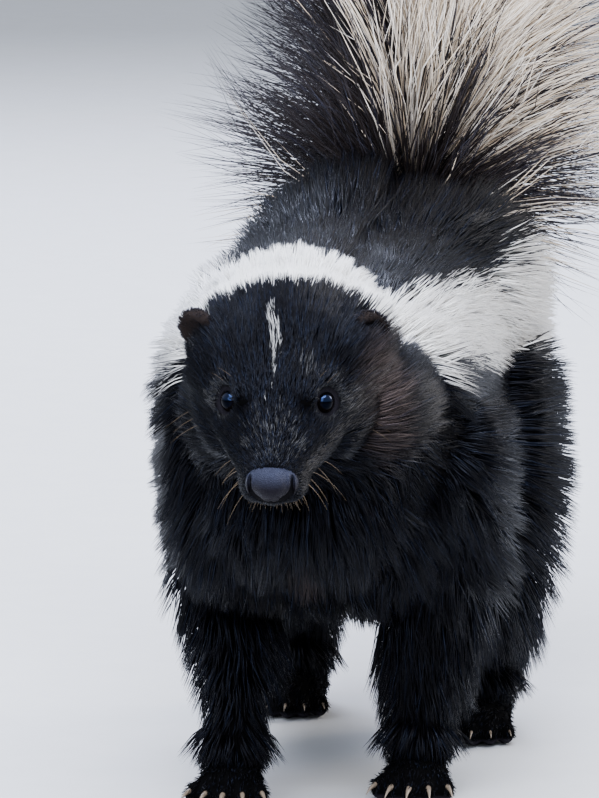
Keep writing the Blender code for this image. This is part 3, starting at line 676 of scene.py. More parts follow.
def blaze(own):
    """The thin streak on the brow, in the head's axes."""
    half = along_table(own[:, 1], BLAZE)
    middle = 0.0008 + 0.0016 * soft(-own[:, 1], 0.000, 0.008)
    off = np.abs(own[:, 0] + middle + 0.0004 * np.sin(own[:, 1] * 420))
    whole = soft(own[:, 1], 0.000, 0.006) * 0.42 + 0.20
    return whole * (1 - soft(off, half, half + 0.0005)) * (half > 0) * (own[:, 2] > -0.002)


# Patches of pale hairs on the face, one of them painted sheen: centre in the head's axes, size and
# share of pale hairs
GREY_AND_SHEEN_SPOTS = [
    ((-0.0190, 0.0030, -0.0040), 0.0024, 0.70),
    ((0.0094, -0.0042, -0.0030), 0.0028, 0.35),
    ((0.0185, 0.0030, -0.0040), 0.0040, 0.35),
    ((0.0092, 0.0020, 0.0082), 0.0024, 0.35),
    ((-0.0070, -0.0160, -0.0045), 0.0018, 0.50),
    ((0.0075, -0.0165, -0.0045), 0.0020, 0.50),
    ((-0.0015, -0.0140, -0.0010), 0.0020, 0.40),
    # Painted sheen: this wide faint patch on the muzzle's top stands in for its short hair's bluish
    # shine
    ((0.0000, -0.0150, -0.0020), 0.0075, 0.16),
]


def unit(vectors):
    return vectors / np.maximum(np.linalg.norm(vectors, axis=1, keepdims=True), 1e-9)


def eye_distance(own):
    """How far each place is from the nearer eye's axis, and the way that leads off it."""
    best, way = np.full(len(own), 9.0), np.zeros_like(own)
    for side in SIDES.values():
        centre, facing = np.array(eye_centre(side)), np.array(eye_facing(side))
        away = own - centre
        out = away - np.outer(away @ facing, facing)
        far = np.where(away @ facing > -0.004, np.linalg.norm(out, axis=1), 9.0)
        way = np.where((far < best)[:, None], out, way)
        best = np.minimum(far, best)
    return best, unit(way)


def on_ear(own):
    """1 on the ears, 0 on the skull beside them."""
    share = np.zeros(len(own))
    for side in SIDES.values():
        centre, turn = ear_place(side)
        local = (own - np.array(centre)) @ np.array(turn)[:3, :3] / np.array(EAR_SIZE)
        share = np.maximum(share, 1 - soft(np.linalg.norm(local, axis=1), 1.10, 1.30))
    return share


def grey_hairs_and_sheen(own):
    """Pale hairs round the eyes and on the muzzle, and a faint patch of painted sheen on its top."""
    total = np.zeros(len(own))
    for place, size, amount in GREY_AND_SHEEN_SPOTS:
        far = np.linalg.norm(own - place, axis=1)
        total = np.maximum(total, amount * (1 - soft(far, size * 0.5, size * 1.6)))
    lids = 0.55 * (1 - soft(eye_distance(own)[0], 0.0046, 0.0075))
    return np.maximum(total, lids)


# %% White, tan and grey at any place
def markings(points):
    """The share of white, of tan and of single grey hairs, some of them painted sheen, at each
    place.
    """
    own = to_head(points)
    x, y, z = own.T
    on_head = 1 - soft(y, 0.030, 0.036)
    white = np.maximum(white_cap(points), on_head * blaze(own))
    # Brown tone: a fringe behind the animal's left cheek, a spot on the chest and the ears
    cheek = on_head * soft(x, 0.019, 0.027) * soft(y, 0.000, 0.020)
    within = soft(z, -0.034, -0.024) * (1 - soft(z, 0.004, 0.012)) * (1 - soft(y, 0.012, 0.024))
    cheek = cheek * (within * (1 - soft(x, 0.025, 0.031)))
    chest = 1 - soft(np.linalg.norm(points - (0.001, -0.052, 0.080), axis=1), 0.004, 0.013)
    tan = np.maximum(np.maximum(0.85 * cheek, 0.62 * chest), 0.11 * on_ear(own))
    return white, tan, on_head * grey_hairs_and_sheen(own)


white_skin, tan_skin, _ = markings(points_of(skin.data))
print("white part of the skin", round(float(white_skin.mean()), 3))

# %% [markdown]
# # The lie of the coat
# Hair lies back from the nose over the head, back along the body, down the chest and down the
# legs, and it parts round the eyes. That direction, with the length of the hair and how far it
# stands off the skin, is given for any place on the body. On the nape and the crown it stands up
# and shows its tips against what is behind.


# %% Which way the hair lies
def head_share(points):
    """1 on the head and 0 on the body, with a smooth change over the neck."""
    own = to_head(points)
    return (1 - soft(own[:, 1], 0.026, 0.046)) * soft(own[:, 2], -0.036, -0.029)


def lie_of_head(own):
    """Back from the nose, and outwards round the eyes and the ears."""
    way = unit(own - np.array(in_head(0, 0.004, -0.002))) + (0, 0.30, 0.05)
    far, out = eye_distance(own)
    way = unit(way)
    with_it = np.clip(np.sum(out * way, axis=1), 0.0, 1.0)
    rim = 1 - soft(far, 0.0042, 0.0052)
    way += out * (1.8 * with_it * (1 - soft(far, 0.0035, 0.0095)) + 2.2 * rim)[:, None]
    for side in SIDES.values():
        centre, _ = ear_place(side)
        away = own - np.array(centre)
        near = on_ear(own) * (own[:, 0] * side > 0)
        way += (unit(away + (0, 0, 0.004)) * 1.6 - way) * near[:, None]
    return way


def lie_of_body(points, normals):
    """Back and a little down the sides, but down the chest and legs, and forwards on the feet."""
    ahead = soft(-normals[:, 1], 0.12, 0.75) * (points[:, 1] < 0.0) * (points[:, 2] < 0.150)
    leg = (1 - soft(points[:, 2], 0.055, 0.098)) * (np.abs(points[:, 0]) > 0.014)
    down = np.maximum(ahead, leg)
    side = np.minimum(1, np.abs(points[:, 0]) / 0.03)
    drop = -0.38 * (1 - down) * side - down
    way = np.stack([0.05 * np.sign(points[:, 0]), 1 - 0.85 * down, drop], axis=1)
    foot = 1 - soft(points[:, 2], 0.010, 0.020)
    return way + foot[:, None] * (0, -2.4, 0.3)


def lie_of_coat(points, normals):
    """The way of the hair along the skin, with a slow swirl, as no coat is combed."""
    place = np.array(head_frame())[:3, :3]
    head = lie_of_head(to_head(points)) @ place.T
    body = unit(lie_of_body(points, normals))
    way = body + (unit(head) - body) * head_share(points)[:, None]
    swirl = np.stack([ripple(points, 0.020, seed) for seed in (11, 12, 13)], axis=1)
    way = unit(way) + 0.16 * swirl
    rise = np.sum(way * normals, axis=1)
    # On the lee side of a form, as between nose and eye, hair runs on with its neighbours
    rise *= np.where(rise > 0, 1 - 0.5 * head_share(points), 1.0)
    return unit(way - normals * rise[:, None])


# %% How long the hair is
# Length on the head along its Y, and on the body by height above the floor
HEAD_LENGTHS = [(-0.028, 0.0018), (-0.020, 0.0028), (-0.010, 0.0044), (0.004, 0.0068)]
HEAD_LENGTHS += [(0.018, 0.0095), (0.036, 0.0108), (0.055, 0.0112)]
BODY_LENGTHS = [(0.0, 0.0022), (0.014, 0.0060), (0.030, 0.0165), (0.055, 0.0245)]
BODY_LENGTHS += [(0.085, 0.0260), (0.150, 0.0240), (0.165, 0.0280)]
BELLY_LENGTH, NAPE_LENGTH, EAR_LENGTH = 0.0200, 0.0118, 0.0012


def cheek_ruff(own):
    """1 on the cheek that the photograph shows fluffed out, the animal's left."""
    x, y, z = own.T
    return soft(x, 0.015, 0.023) * soft(y, 0.002, 0.022) * (1 - soft(z, 0.000, 0.010))


def on_rump(points):
    return soft(points[:, 1], 0.085, 0.125) * soft(points[:, 2], 0.118, 0.132)


def length_of_coat(points):
    """Short round the eyes and on the ears, longest on the belly, the flanks and the rump."""
    own = to_head(points)
    far, _ = eye_distance(own)
    head = along_table(own[:, 1], HEAD_LENGTHS)
    head *= 0.30 + 0.70 * soft(far, 0.0040, 0.0095)
    low = 1 - soft(own[:, 2], -0.016, -0.006)
    head *= 1 + 0.45 * low * soft(own[:, 1], -0.016, 0.012)
    head += 0.0040 * cheek_ruff(own)
    head += (EAR_LENGTH - head) * on_ear(own)
    x, y, z = points.T
    body = along_table(z, BODY_LENGTHS)
    body = np.where(np.abs(x) < 0.012, np.maximum(body, BELLY_LENGTH), body)
    nape = soft(z, 0.140, 0.155) * (1 - soft(y, -0.010, 0.030))
    body += (NAPE_LENGTH - body) * nape
    shoulder = soft(-x, 0.020, 0.040) * (1 - soft(y, 0.040, 0.080)) * soft(z, 0.050, 0.080)
    body += 0.008 * on_rump(points) + 0.007 * shoulder
    return body + (head - body) * head_share(points)


# %% How far it stands off
def lift_of_coat(points):
    """The angle between hair and skin, in degrees, at the root and at the tip."""
    own = to_head(points)
    crown = soft(own[:, 1], 0.012, 0.032) * soft(own[:, 2], 0.000, 0.010)
    head = 22 + 8 * crown + 10 * soft(own[:, 1], 0.000, 0.020)
    nape = soft(points[:, 2], 0.140, 0.160) * (1 - soft(points[:, 1], -0.020, 0.015))
    leg = 1 - soft(points[:, 2], 0.030, 0.080)
    body = 34 + 2 * nape - 5 * leg + 8 * on_rump(points)
    ahead = np.abs(own - np.array(in_head(0, 0.050, 0.010))) - (0.022, 0.006, 0.004)
    before_ear = 1 - soft(np.linalg.norm(ahead, axis=1), 0.005, 0.010)
    head += 22 * before_ear * (1 - on_ear(own)) + 12 * cheek_ruff(own)
    root = body + (head - body) * head_share(points)
    return root, root * (0.42 + 0.40 * nape + 0.15 * crown)


# %% [markdown]
# # Where each tuft is rooted
# Roots are drawn at random over the skin's triangles, more of them where the hair is short. Each
# region is its own piece, so that none grows past the size that a printed file keeps whole.


# %% Draw roots on the skin
class Ground:
    """The skin as arrays, to draw places on it."""

    def __init__(self, obj):
        mesh = obj.data
        mesh.calc_loop_triangles()
        self.corners = np.empty(len(mesh.loop_triangles) * 3, int)
        mesh.loop_triangles.foreach_get("vertices", self.corners)
        self.corners = self.corners.reshape(-1, 3)
        self.points = points_of(mesh)
        normals = np.empty(len(mesh.vertices) * 3)
        mesh.vertices.foreach_get("normal", normals)
        self.normals = normals.reshape(-1, 3)
        a, b, c = (self.points[self.corners[:, k]] for k in range(3))
        self.area = np.linalg.norm(np.cross(b - a, c - a), axis=1) / 2
        self.middle = (a + b + c) / 3

    def draw(self, count, weight, seed):
        """count places and normals, as dense as weight says for each triangle."""
        chance = np.random.default_rng(seed)
        share = self.area * weight(self.middle)
        picked = self.corners[chance.choice(len(share), count, p=share / share.sum())]
        u, v = chance.random((2, count))
        flip = u + v > 1
        u[flip], v[flip] = 1 - u[flip], 1 - v[flip]
        parts = (1 - u - v, u, v)
        places = sum(self.points[picked[:, k]] * parts[k][:, None] for k in range(3))
        normals = sum(self.normals[picked[:, k]] * parts[k][:, None] for k in range(3))
        return places, unit(normals)


ground = Ground(skin)
print("skin area", round(float(ground.area.sum()) * 1e4), "square cm")


# %% [markdown]
# # One tuft
# A tuft is a few hairs that stick together: thin, flat, widest a third of the way up and drawn to
# a point. Its section is a triangle and it has two or three rings, so it is a closed solid of 10 or
# 16 triangles. It rises from the skin at one angle and bends towards the body at another. Tips of
# neighbours are drawn together, because real fur breaks into locks and doesn't comb out evenly.


# %% Profiles and locks
# For each number of rings: how far along the tuft each ring is, and its share of the width
PROFILES = {2: ((0.0, 0.80), (0.46, 0.90)), 3: ((0.0, 0.80), (0.34, 1.0), (0.70, 0.66))}
ROOT_DEPTH = 0.0004
MAP_FILL, TUFT_PATCH = 0.996, 0.003


def heights_of(rings):
    """How far along a tuft its rings and its tip are, from 0 to 1."""
    return [row[0] for row in PROFILES[rings]] + [1.0]


def clumped(curves, roots, clump, every=9):
    """Draws each curve's outer part towards the nearest of a few chosen curves."""
    guides = np.arange(0, len(roots), every)
    tree = KDTree(len(guides))
    for i, guide in enumerate(guides):
        tree.insert(roots[guide], i)
    tree.balance()
    nearest = guides[[tree.find(root)[1] for root in roots]]
    pull = np.linspace(0, 1, curves.shape[1]) ** 1.6
    target = curves[nearest] - roots[nearest][:, None, :] * 0.35 + roots[:, None, :] * 0.35
    return curves + (target - curves) * (np.reshape(clump, (-1, 1, 1)) * pull[None, :, None])


# %% Points and faces of a tuft
def tuft_points(curves, side, width, flatness):
    """Three corners round each ring of every curve, then its tip."""
    profile = PROFILES[curves.shape[1] - 1]
    ways = unit(np.gradient(curves, axis=1).reshape(-1, 3)).reshape(curves.shape)
    points = np.empty((len(curves), 3 * len(profile) + 1, 3))
    for k, (_, wide) in enumerate(profile):
        way, middle = ways[:, k], curves[:, k]
        across = unit(side - way * np.sum(side * way, axis=1, keepdims=True))
        half = across * (width * wide / 2)[:, None]
        thick = np.cross(way, across) * (width * wide * flatness)[:, None]
        points[:, 3 * k] = middle - half - thick * 0.35
        points[:, 3 * k + 1] = middle + half - thick * 0.35
        points[:, 3 * k + 2] = middle + thick * 0.65
    points[:, -1] = curves[:, -1]
    return points


def tuft_faces(rings):
    """The corners of one tuft's faces, and the columns of the map that they lie in."""
    faces, columns = [(0, 2, 1)], [(0, 2, 1)]
    last = 3 * (rings - 1)
    for low in range(0, last, 3):
        for i in range(3):
            j = (i + 1) % 3
            faces.append((low + i, low + j, low + 3 + j, low + 3 + i))
            columns.append((i, i + 1, i + 1, i))
    for i in range(3):
        faces.append((last + i, last + (i + 1) % 3, last + 3))
        columns.append((i, i + 1, i + 0.5))
    return faces, columns


# %% Many tufts as one mesh
def carry(mesh, name, kind, values):
    """Keeps a named value, vector or colour on each point of the mesh."""
    part = {"FLOAT": "value", "FLOAT_VECTOR": "vector", "FLOAT_COLOR": "color"}[kind]
    home = mesh.color_attributes if part == "color" else mesh.attributes
    home.new(name, kind, "POINT").data.foreach_set(part, np.ravel(values))


def tufts(name, curves, side, width, flatness, marking, place, pale_from=-1.0):
    """One mesh of closed tapering tufts along curves of rings and a tip, with a baking map."""
    count, rings = len(curves), curves.shape[1] - 1
    points = tuft_points(curves, side, width, flatness)
    each = points.shape[1]
    faces, columns = tuft_faces(rings)
    corners = np.array([corner for face in faces for corner in face])
    starts = np.cumsum([0] + [len(face) for face in faces[:-1]])
    number = np.arange(count)[:, None]
    mesh = bpy.data.meshes.new(name)
    mesh.vertices.add(count * each)
    mesh.vertices.foreach_set("co", points.ravel())
    mesh.loops.add(count * len(corners))
    mesh.loops.foreach_set("vertex_index", (corners + number * each).ravel())
    mesh.polygons.add(count * len(faces))
    mesh.polygons.foreach_set("loop_start", (starts + number * len(corners)).ravel())
    heights = np.repeat(heights_of(rings), [3] * rings + [1])
    column = np.array([value for face in columns for value in face]) / 3
    patch = np.stack([column, heights[corners]], axis=1) * TUFT_PATCH
    baking = mesh.uv_layers.new(name="OFBake")
    baking.data.foreach_set("uv", (place[:, None, :] + patch).ravel())
    colours = np.empty((count, each, 4))
    colours[:, :, :3] = marking[:, None, :]
    colours[:, :, 0] *= soft(heights, pale_from, pale_from + 0.45)
    colours[:, :, 3] = heights
    carry(mesh, "marking", "FLOAT_COLOR", colours)
    mesh.update()
    mesh.validate()
    mesh.shade_smooth()
    return object_of(name, mesh)


# %% The curves that tufts follow
def curves_from(roots, normals, ways, length, lift, rings, curl, chance):
    """Curves that leave the skin at one angle and bend towards it, with some curl sideways."""
    heights = heights_of(rings)
    side = np.cross(normals, ways)
    curves = np.empty((len(roots), rings + 1, 3))
    curves[:, 0] = roots - normals * ROOT_DEPTH
    swing = chance.normal(0, curl, len(roots))
    for k in range(rings):
        share = (heights[k] + heights[k + 1]) / 2
        angle = np.radians(lift[0] + (lift[1] - lift[0]) * share)
        way = ways * np.cos(angle)[:, None] + normals * np.sin(angle)[:, None]
        way = unit(way + side * (swing * share)[:, None])
        step = length * (heights[k + 1] - heights[k])
        curves[:, k + 1] = curves[:, k] + way * step[:, None]
    return curves, side


# %% [markdown]
# # The coat, region by region
# Each region is drawn from its own weight, which says where it is and how dense. The face has
# many small tufts, and the body fewer and longer ones, all of two rings. For the baking map the
# skin is unrolled round its own axis: the angle round the body and the distance along it are the
# two directions of the map, and each tuft is a small patch at its root's place.


# %% The coat unrolled for baking
def unrolled(points, kind):
    """The place of each root on the skin unrolled round its own axis, from 0 to 1."""
    x, y, z = points.T
    if kind == "head":
        own = to_head(points)
        u = np.arctan2(own[:, 0], own[:, 2] + 0.006) / math.tau + 0.5
        v = own[:, 1]
    elif kind == "legs":
        u, v = np.zeros(len(points)), z
        for i, ((end, label), along) in enumerate(FEET.items()):
            mine = (x * SIDES[label] > 0) & ((y > 0.06) == (end == "hind"))
            turn = np.arctan2(x - SIDES[label] * 0.03, y - along - 0.006)
            u = np.where(mine, (i + turn / math.tau + 0.5) / 4, u)
    else:
        u, v = np.arctan2(x, z - along_table(y, SPINE)) / math.tau + 0.5, y
    u = (u - u.min()) / (u.max() - u.min())
    v = (v - v.min()) / (v.max() - v.min())
    return np.stack([u, v], axis=1) * MAP_FILL


# %% Where hair grows
WRIST, SOLE = 0.022, 0.0022
NECK_END = 0.004
BARE_PAD, BARE_EYE = (0.0070, 0.0064, 0.0052), 0.0036


def bare_places(points):
    """Places without hair: the nose pad, the eyes with their lids' inner edges, and the soles."""
    own = to_head(points)
    pad = own - np.array(in_head(0, PAD_AT[0] + 0.0050, PAD_AT[1] + 0.0004))
    on_pad = np.sum((pad / BARE_PAD) ** 2, axis=1) < 1
    on_eye = eye_distance(own)[0] < BARE_EYE
    return on_pad | on_eye | (points[:, 2] < SOLE)


def is_leg(points):
    x, y, z = points.T
    front = (y > -0.05) & (y < 0.05) & (z < 0.078)
    hind = (y > 0.075) & (z < 0.084)
    return (front | hind) & (np.abs(x) > 0.010)


def is_tail(points):
    rows = np.array(tail_rows())[:, :3]
    far = np.min(np.linalg.norm(points[:, None, :] - rows[None, 2:, :], axis=2), axis=1)
    return (far < 0.014) & (points[:, 2] > 0.155)


def region(points, name):
    """Which places the named region has; face and crown overlap in a narrow band."""
    own = to_head(points)
    head = (own[:, 1] < 0.040) & (own[:, 2] > -0.0310)
    leg = is_leg(points) & ~head
    paw = leg & (points[:, 2] < WRIST)
    rest = ~(head | leg | is_tail(points))
    neck = rest & (points[:, 1] < NECK_END)
    return {
        "face": head & (own[:, 1] < 0.020),
        "crown": head & (own[:, 1] > 0.014),
        "neck": neck,
        "torso": rest & ~neck,
        "legs": leg & ~paw,
        "paws": paw,
    }[name]


def short_first(points):
    """More tufts where they are short, and most round the eyes."""
    far, _ = eye_distance(to_head(points))
    most = 3 - 2 * soft(far, 0.0044, 0.0068)
    return most / np.clip(length_of_coat(points), 0.0012, 0.03) ** 0.9


def even(points):
    return np.ones(len(points))


# %% Coats of the head, body and legs
# Name, region, side kept, tufts, width at 10 mm of length, clump, the map's kind and the density
COATS = [
    ("coat_face_left", "face", 1, 15500, 0.00046, 0.35, "head", short_first),
    ("coat_face_right", "face", -1, 15500, 0.00046, 0.35, "head", short_first),
    ("coat_crown", "crown", 0, 18500, 0.00046, 0.62, "head", even),
    ("coat_neck", "neck", 0, 19500, 0.00044, 0.90, "body", short_first),
    ("coat_side_left", "torso", 1, 19000, 0.00056, 0.60, "body", even),
    ("coat_side_right", "torso", -1, 19000, 0.00056, 0.60, "body", even),
    ("coat_legs", "legs", 0, 14300, 0.00052, 0.55, "legs", even),
    ("coat_paws", "paws", 0, 5000, 0.00046, 0.30, "legs", even),
]
BODY_RINGS, TAIL_RINGS = 2, 3
MIDLINE, FLOOR_GAP = -0.0043, 0.0004


def hair_marks(roots, chance):
    """Each tuft's share of white and of tan, and its chance number."""
    count = len(roots)
    white, tan, grey = markings(roots)
    # In a border the hairs are black or white one by one, and on the face single ones are grey;
    # on the muzzle's top these grey ones are a painted sheen
    white = np.where(chance.random(count) < white, chance.uniform(0.75, 1.0, count), 0.0)
    brow = 1 - soft(to_head(roots)[:, 1], 0.022, 0.026)
    white *= 1 - brow * chance.uniform(0.30, 0.88, count)
    single = np.where(chance.random(count) < grey, chance.uniform(0.01, 0.06, count), 0.0)
    white = np.maximum(white, single)
    return np.stack([white, tan * chance.uniform(0.2, 1.3, count), chance.random(count)], axis=1)


def make_coat(name, where, half, count, width, clump, kind, density, seed):
    chance = np.random.default_rng(seed)

    def weight(points):
        mine = region(points, where) & ~bare_places(points)
        if half:
            mine &= (points[:, 0] - MIDLINE) * half > 0
        return np.where(mine, density(points), 0.0)

    roots, normals = ground.draw(count, weight, seed)
    keep = ~bare_places(roots)
    roots, normals = roots[keep], normals[keep]

    def vary(low, high):
        return chance.uniform(low, high, len(roots))

    length = length_of_coat(roots) * vary(0.60 if where == "neck" else 0.72, 1.18)
    root_lift, tip_lift = lift_of_coat(roots)
    lift = (root_lift * vary(0.75, 1.25), tip_lift * vary(0.6, 1.4))
    ways = lie_of_coat(roots, normals)
    curves, side = curves_from(roots, normals, ways, length, lift, BODY_RINGS, 0.22, chance)
    every = 14 if where in ("neck", "crown") else 9
    curves = clumped(curves, roots, clump * vary(0.5, 1.2), every)
    curves[:, :, 2] = np.maximum(curves[:, :, 2], FLOOR_GAP)
    marking = hair_marks(roots, chance)
    wide = width * (length / 0.010) ** 0.28 * vary(0.75, 1.25)
    return tufts(name, curves, side, wide, 0.38, marking, unrolled(roots, kind))


def triangles(obj):
    """How many triangles the mesh has: a face of n corners makes n - 2."""
    return len(obj.data.loops) - 2 * len(obj.data.polygons)


coats = []
for seed, row in enumerate(COATS, 100):
    coats.append(make_coat(*row, seed))
    print(row[0], triangles(coats[-1]), "triangles")

# %% [markdown]
# # The tail
# The raised tail is a thin core with hair three times as long as on the back, which stands out all
# round like a bottle brush, more steeply near the root than at the tip. The hairs are straight and
# coarse, of three rings each, and dark near the core. Many of the upper ones are cream from a third
# of their length on. Two pieces from two seeds keep each one small.

# %% Tail
TAIL_ROWS = np.array(tail_rows())[:, :3]
TAIL_COUNT, TAIL_WIDTH = 7400, 0.00056
CREAM_SIDE = (0.62, -0.25, 0.55)


def tail_place(share):
    """Points and ways along the tail's core."""
    step = share * (len(TAIL_ROWS) - 1)
    i = np.minimum(step.astype(int), len(TAIL_ROWS) - 2)
    way = unit(TAIL_ROWS[i + 1] - TAIL_ROWS[i])
    return TAIL_ROWS[i] + (TAIL_ROWS[i + 1] - TAIL_ROWS[i]) * (step - i)[:, None], way


def tail_marks(roots, radial, share, chance):
    """Cream or dark for neighbours together, as the hairs of one lock are."""
    count = len(roots)
    lock = 0.5 + 0.34 * ripple(roots + radial * 0.04, 0.020, 5) + chance.normal(0, 0.12, count)
    sector = soft(radial @ np.array(CREAM_SIDE), -0.05, 0.60)
    cream = 0.74 * sector * soft(share, 0.02, 0.30) + 0.02
    wisp = 0.85 * (1 - soft(share, 0.09, 0.20)) * soft(np.abs(radial[:, 0]), 0.60, 0.85)
    wisp = wisp * soft(-radial[:, 2], -0.45, 0.0)
    white = (lock < np.maximum(cream, wisp)).astype(float)
    tan = chance.uniform(0.45, 1.0, count) * (0.12 + 0.88 * white)
    return np.stack([white, tan, chance.random(count)], axis=1)


def make_tail_coat(name, count, seed):
    chance = np.random.default_rng(seed)

    def vary(low, high):
        return chance.uniform(low, high, count)

    share = 0.06 + 0.94 * chance.random(count) ** 0.9
    angle = vary(0, math.tau)
    place, way = tail_place(share)
    across = np.array((1.0, 0, 0))
    up = np.cross(across, way)
    radial = across * np.cos(angle)[:, None] + up * np.sin(angle)[:, None]
    radius = TAIL_CORE[0] + (TAIL_CORE[1] - TAIL_CORE[0]) * share
    lean = np.radians(84 - 52 * share**1.2 - 20 * soft(share, 0.80, 1.0))
    lean = np.clip(lean + chance.normal(0, 0.10, count), 0, np.radians(90))
    length = TAIL_HAIR * (0.96 + 0.14 * share - 0.24 * share**2) * vary(0.68, 1.0)
    length *= (soft(share, 0.02, 0.16) * 0.6 + 0.4) * (1 - 0.14 * soft(share, 0.85, 1.0))
    length = np.where(chance.random(count) < 0.28, length * 0.5, length)
    lift = (np.degrees(lean), np.degrees(lean) - np.clip(chance.normal(6, 10, count), -6, 26))
    roots = place + radial * (radius * 0.8)[:, None]
    curves, side = curves_from(roots, radial, way, length, lift, TAIL_RINGS, 0.24, chance)
    sag = length * vary(0.02, 0.16)
    curves[:, :, 2] -= sag[:, None] * np.array(heights_of(TAIL_RINGS)) ** 2
    curves = clumped(curves, roots + radial * 0.02, 0.78 * vary(0.3, 1.25), 17)
    marking = tail_marks(roots, radial, share, chance)
    wide = TAIL_WIDTH * vary(0.6, 1.3)
    unroll = np.stack([angle / math.tau, share], axis=1) * MAP_FILL
    return tufts(name, curves, side, wide, 0.40, marking, unroll, pale_from=0.12)


tail_coats = []
for seed, name in enumerate(("coat_tail_lower", "coat_tail_upper"), 201):
    tail_coats.append(make_tail_coat(name, TAIL_COUNT, seed))
    print(name, triangles(tail_coats[-1]), "triangles")

# %% [markdown]
# # Nodes, colours and finishes
# A finish is a small tree of nodes. One function adds a node with its settings and its inputs, for
# shaders and for geometry alike: an input that is given another node's output is linked, and any
# other value is set. Colours are given as sRGB hex values, and a shader wants them linear.


# %% Node helper and colours
def node(tree, kind, inputs=None, **settings):
    made = tree.nodes.new(kind)
    for key, value in settings.items():
        setattr(made, key, value)
    for key, value in (inputs or {}).items():
        if isinstance(value, bpy.types.NodeSocket):
            tree.links.new(value, made.inputs[key])
        else:
            made.inputs[key].default_value = value
    return made


def linear(hex_colour):
    parts = [int(hex_colour[i : i + 2], 16) / 255 for i in (1, 3, 5)]
    return (*[p / 12.92 if p <= 0.04045 else ((p + 0.055) / 1.055) ** 2.4 for p in parts], 1.0)


def new_material(name):
    made = bpy.data.materials.new(name)
    made.use_nodes = True
    made.node_tree.nodes.clear()
    return made, made.node_tree


def mixed(tree, share, low, high):
    """A colour between low and high."""
    made = node(tree, "ShaderNodeMix", {0: share, 6: low, 7: high}, data_type="RGBA")
    return made.outputs[2]


def scaled(tree, value, factor, offset=0.0):
    inputs = {0: value, 1: factor, 2: offset}
    return node(tree, "ShaderNodeMath", inputs, operation="MULTIPLY_ADD").outputs[0]


def product(tree, one, other):
    return node(tree, "ShaderNodeMath", {0: one, 1: other}, operation="MULTIPLY").outputs[0]


def ramp(tree, value, low, high, top=1.0):
    """0 up to low, top from high on, and a straight change between them."""
    inputs = {0: value, 1: low, 2: high, 3: 0.0, 4: top}
    return node(tree, "ShaderNodeMapRange", inputs).outputs[0]


def object_place(tree):
    return node(tree, "ShaderNodeTexCoord").outputs["Object"]


def noise(tree, place, scale, detail, **more):
    inputs = {"Vector": place, "Scale": scale, "Detail": detail, **more}
    return node(tree, "ShaderNodeTexNoise", inputs).outputs["Fac"]


def bump_of(tree, height, strength, depth):
    inputs = {"Height": height, "Strength": strength, "Distance": depth}
    return node(tree, "ShaderNodeBump", inputs).outputs[0]


def finish_with(tree, inputs):
    """Ends a material's tree in one shader with these inputs."""
    shader = node(tree, "ShaderNodeBsdfPrincipled", inputs)
    node(tree, "ShaderNodeOutputMaterial", {"Surface": shader.outputs[0]})


# %% [markdown]
# # Guard hair
# A skunk's guard hair is keratin, smooth and a little flattened. Black hair is not one black: it
# goes to brown at worn tips, and white hair is faintly yellow at its root. The blue-black of hair
# that mirrors the sky is a painted reflection: it is painted into the tips of some tufts, and the
# shine of all hair gets a painted blue tint. Each tuft carries its own share of white and of tan,
# a chance number and the height along it, so no two neighbours are alike.


# %% Guard hair material
def coat_colour(tree, dark_root, dark_tip, brown):
    """The coat's colour from the marking that skin and tufts both carry."""
    marking = node(tree, "ShaderNodeAttribute", attribute_name="marking")
    parts = node(tree, "ShaderNodeSeparateColor", {0: marking.outputs["Color"]})
    white, tan, chance = parts.outputs
    height = marking.outputs["Alpha"]
    dark = mixed(tree, height, linear(dark_root), linear(dark_tip))
    dark = mixed(tree, scaled(tree, chance, 0.30), dark, linear(brown))
    # Painted sky reflection: hairs of a low chance number get a dark blue tip for the sky they
    # mirror
    painted_sky_sheen = product(tree, ramp(tree, chance, 0.25, 0.0, top=0.9), height)
    dark = mixed(tree, painted_sky_sheen, dark, linear("#1b202e"))
    dark = mixed(tree, scaled(tree, tan, 0.55), dark, linear("#86736b"))
    pale = mixed(tree, height, linear("#dedad0"), linear("#fbf9f4"))
    pale = mixed(tree, scaled(tree, tan, 0.85), pale, linear("#b99c70"))
    pale = mixed(tree, scaled(tree, chance, 0.08), pale, linear("#a9a39a"))
    return mixed(tree, white, dark, pale), chance


def guard_hair():
    made, tree = new_material("guard_hair_smooth_keratin")
    colour, chance = coat_colour(tree, "#030304", "#070709", "#110c0a")
    # Each hair in a tuft is under 0.1 mm thick, drawn three times as coarse so that it shows
    strands = noise(tree, object_place(tree), 3200.0, 1.0)
    inputs = {
        "Base Color": colour,
        "Roughness": scaled(tree, chance, 0.14, 0.24),
        "Normal": bump_of(tree, strands, 0.25, 0.0001),
        "IOR": 1.55,
        "Specular IOR Level": 0.09,
        # The blue tint on the shine is painted sky colour
        "Specular Tint": linear("#c3d0ee"),
    }
    finish_with(tree, inputs)
    return made


hair = guard_hair()

# %% [markdown]
# # Hide
# Under the coat lies the skin with its shortest hair, too fine and too flat for tufts. It gives the
# eye a soft grain of streaks 0.3 mm wide and the same markings as the coat. Bare slate-grey skin
# shows under the feet, more faintly on the lids, and as a trace round the nose pad.


# %% Hide material
def hide():
    made, tree = new_material("hide_with_short_underfur")
    colour, _ = coat_colour(tree, "#030303", "#040405", "#080605")
    bare = node(tree, "ShaderNodeAttribute", attribute_name="bare").outputs["Fac"]
    # Underfur lies along the body, so its grain is stretched along Y: 0.3 mm across, 2 mm long
    lengthwise = {"Vector": object_place(tree), "Scale": (1.0, 0.16, 1.0)}
    along = node(tree, "ShaderNodeMapping", lengthwise).outputs[0]
    grain = noise(tree, along, 1600.0, 3.0, Roughness=0.6)
    inputs = {
        "Base Color": mixed(tree, bare, colour, linear("#2b282e")),
        "Roughness": 0.9,
        "Normal": bump_of(tree, grain, 0.6, 0.0003),
        "IOR": 1.45,
        "Specular IOR Level": 0.03,
    }
    finish_with(tree, inputs)
    return made


hide_material = hide()

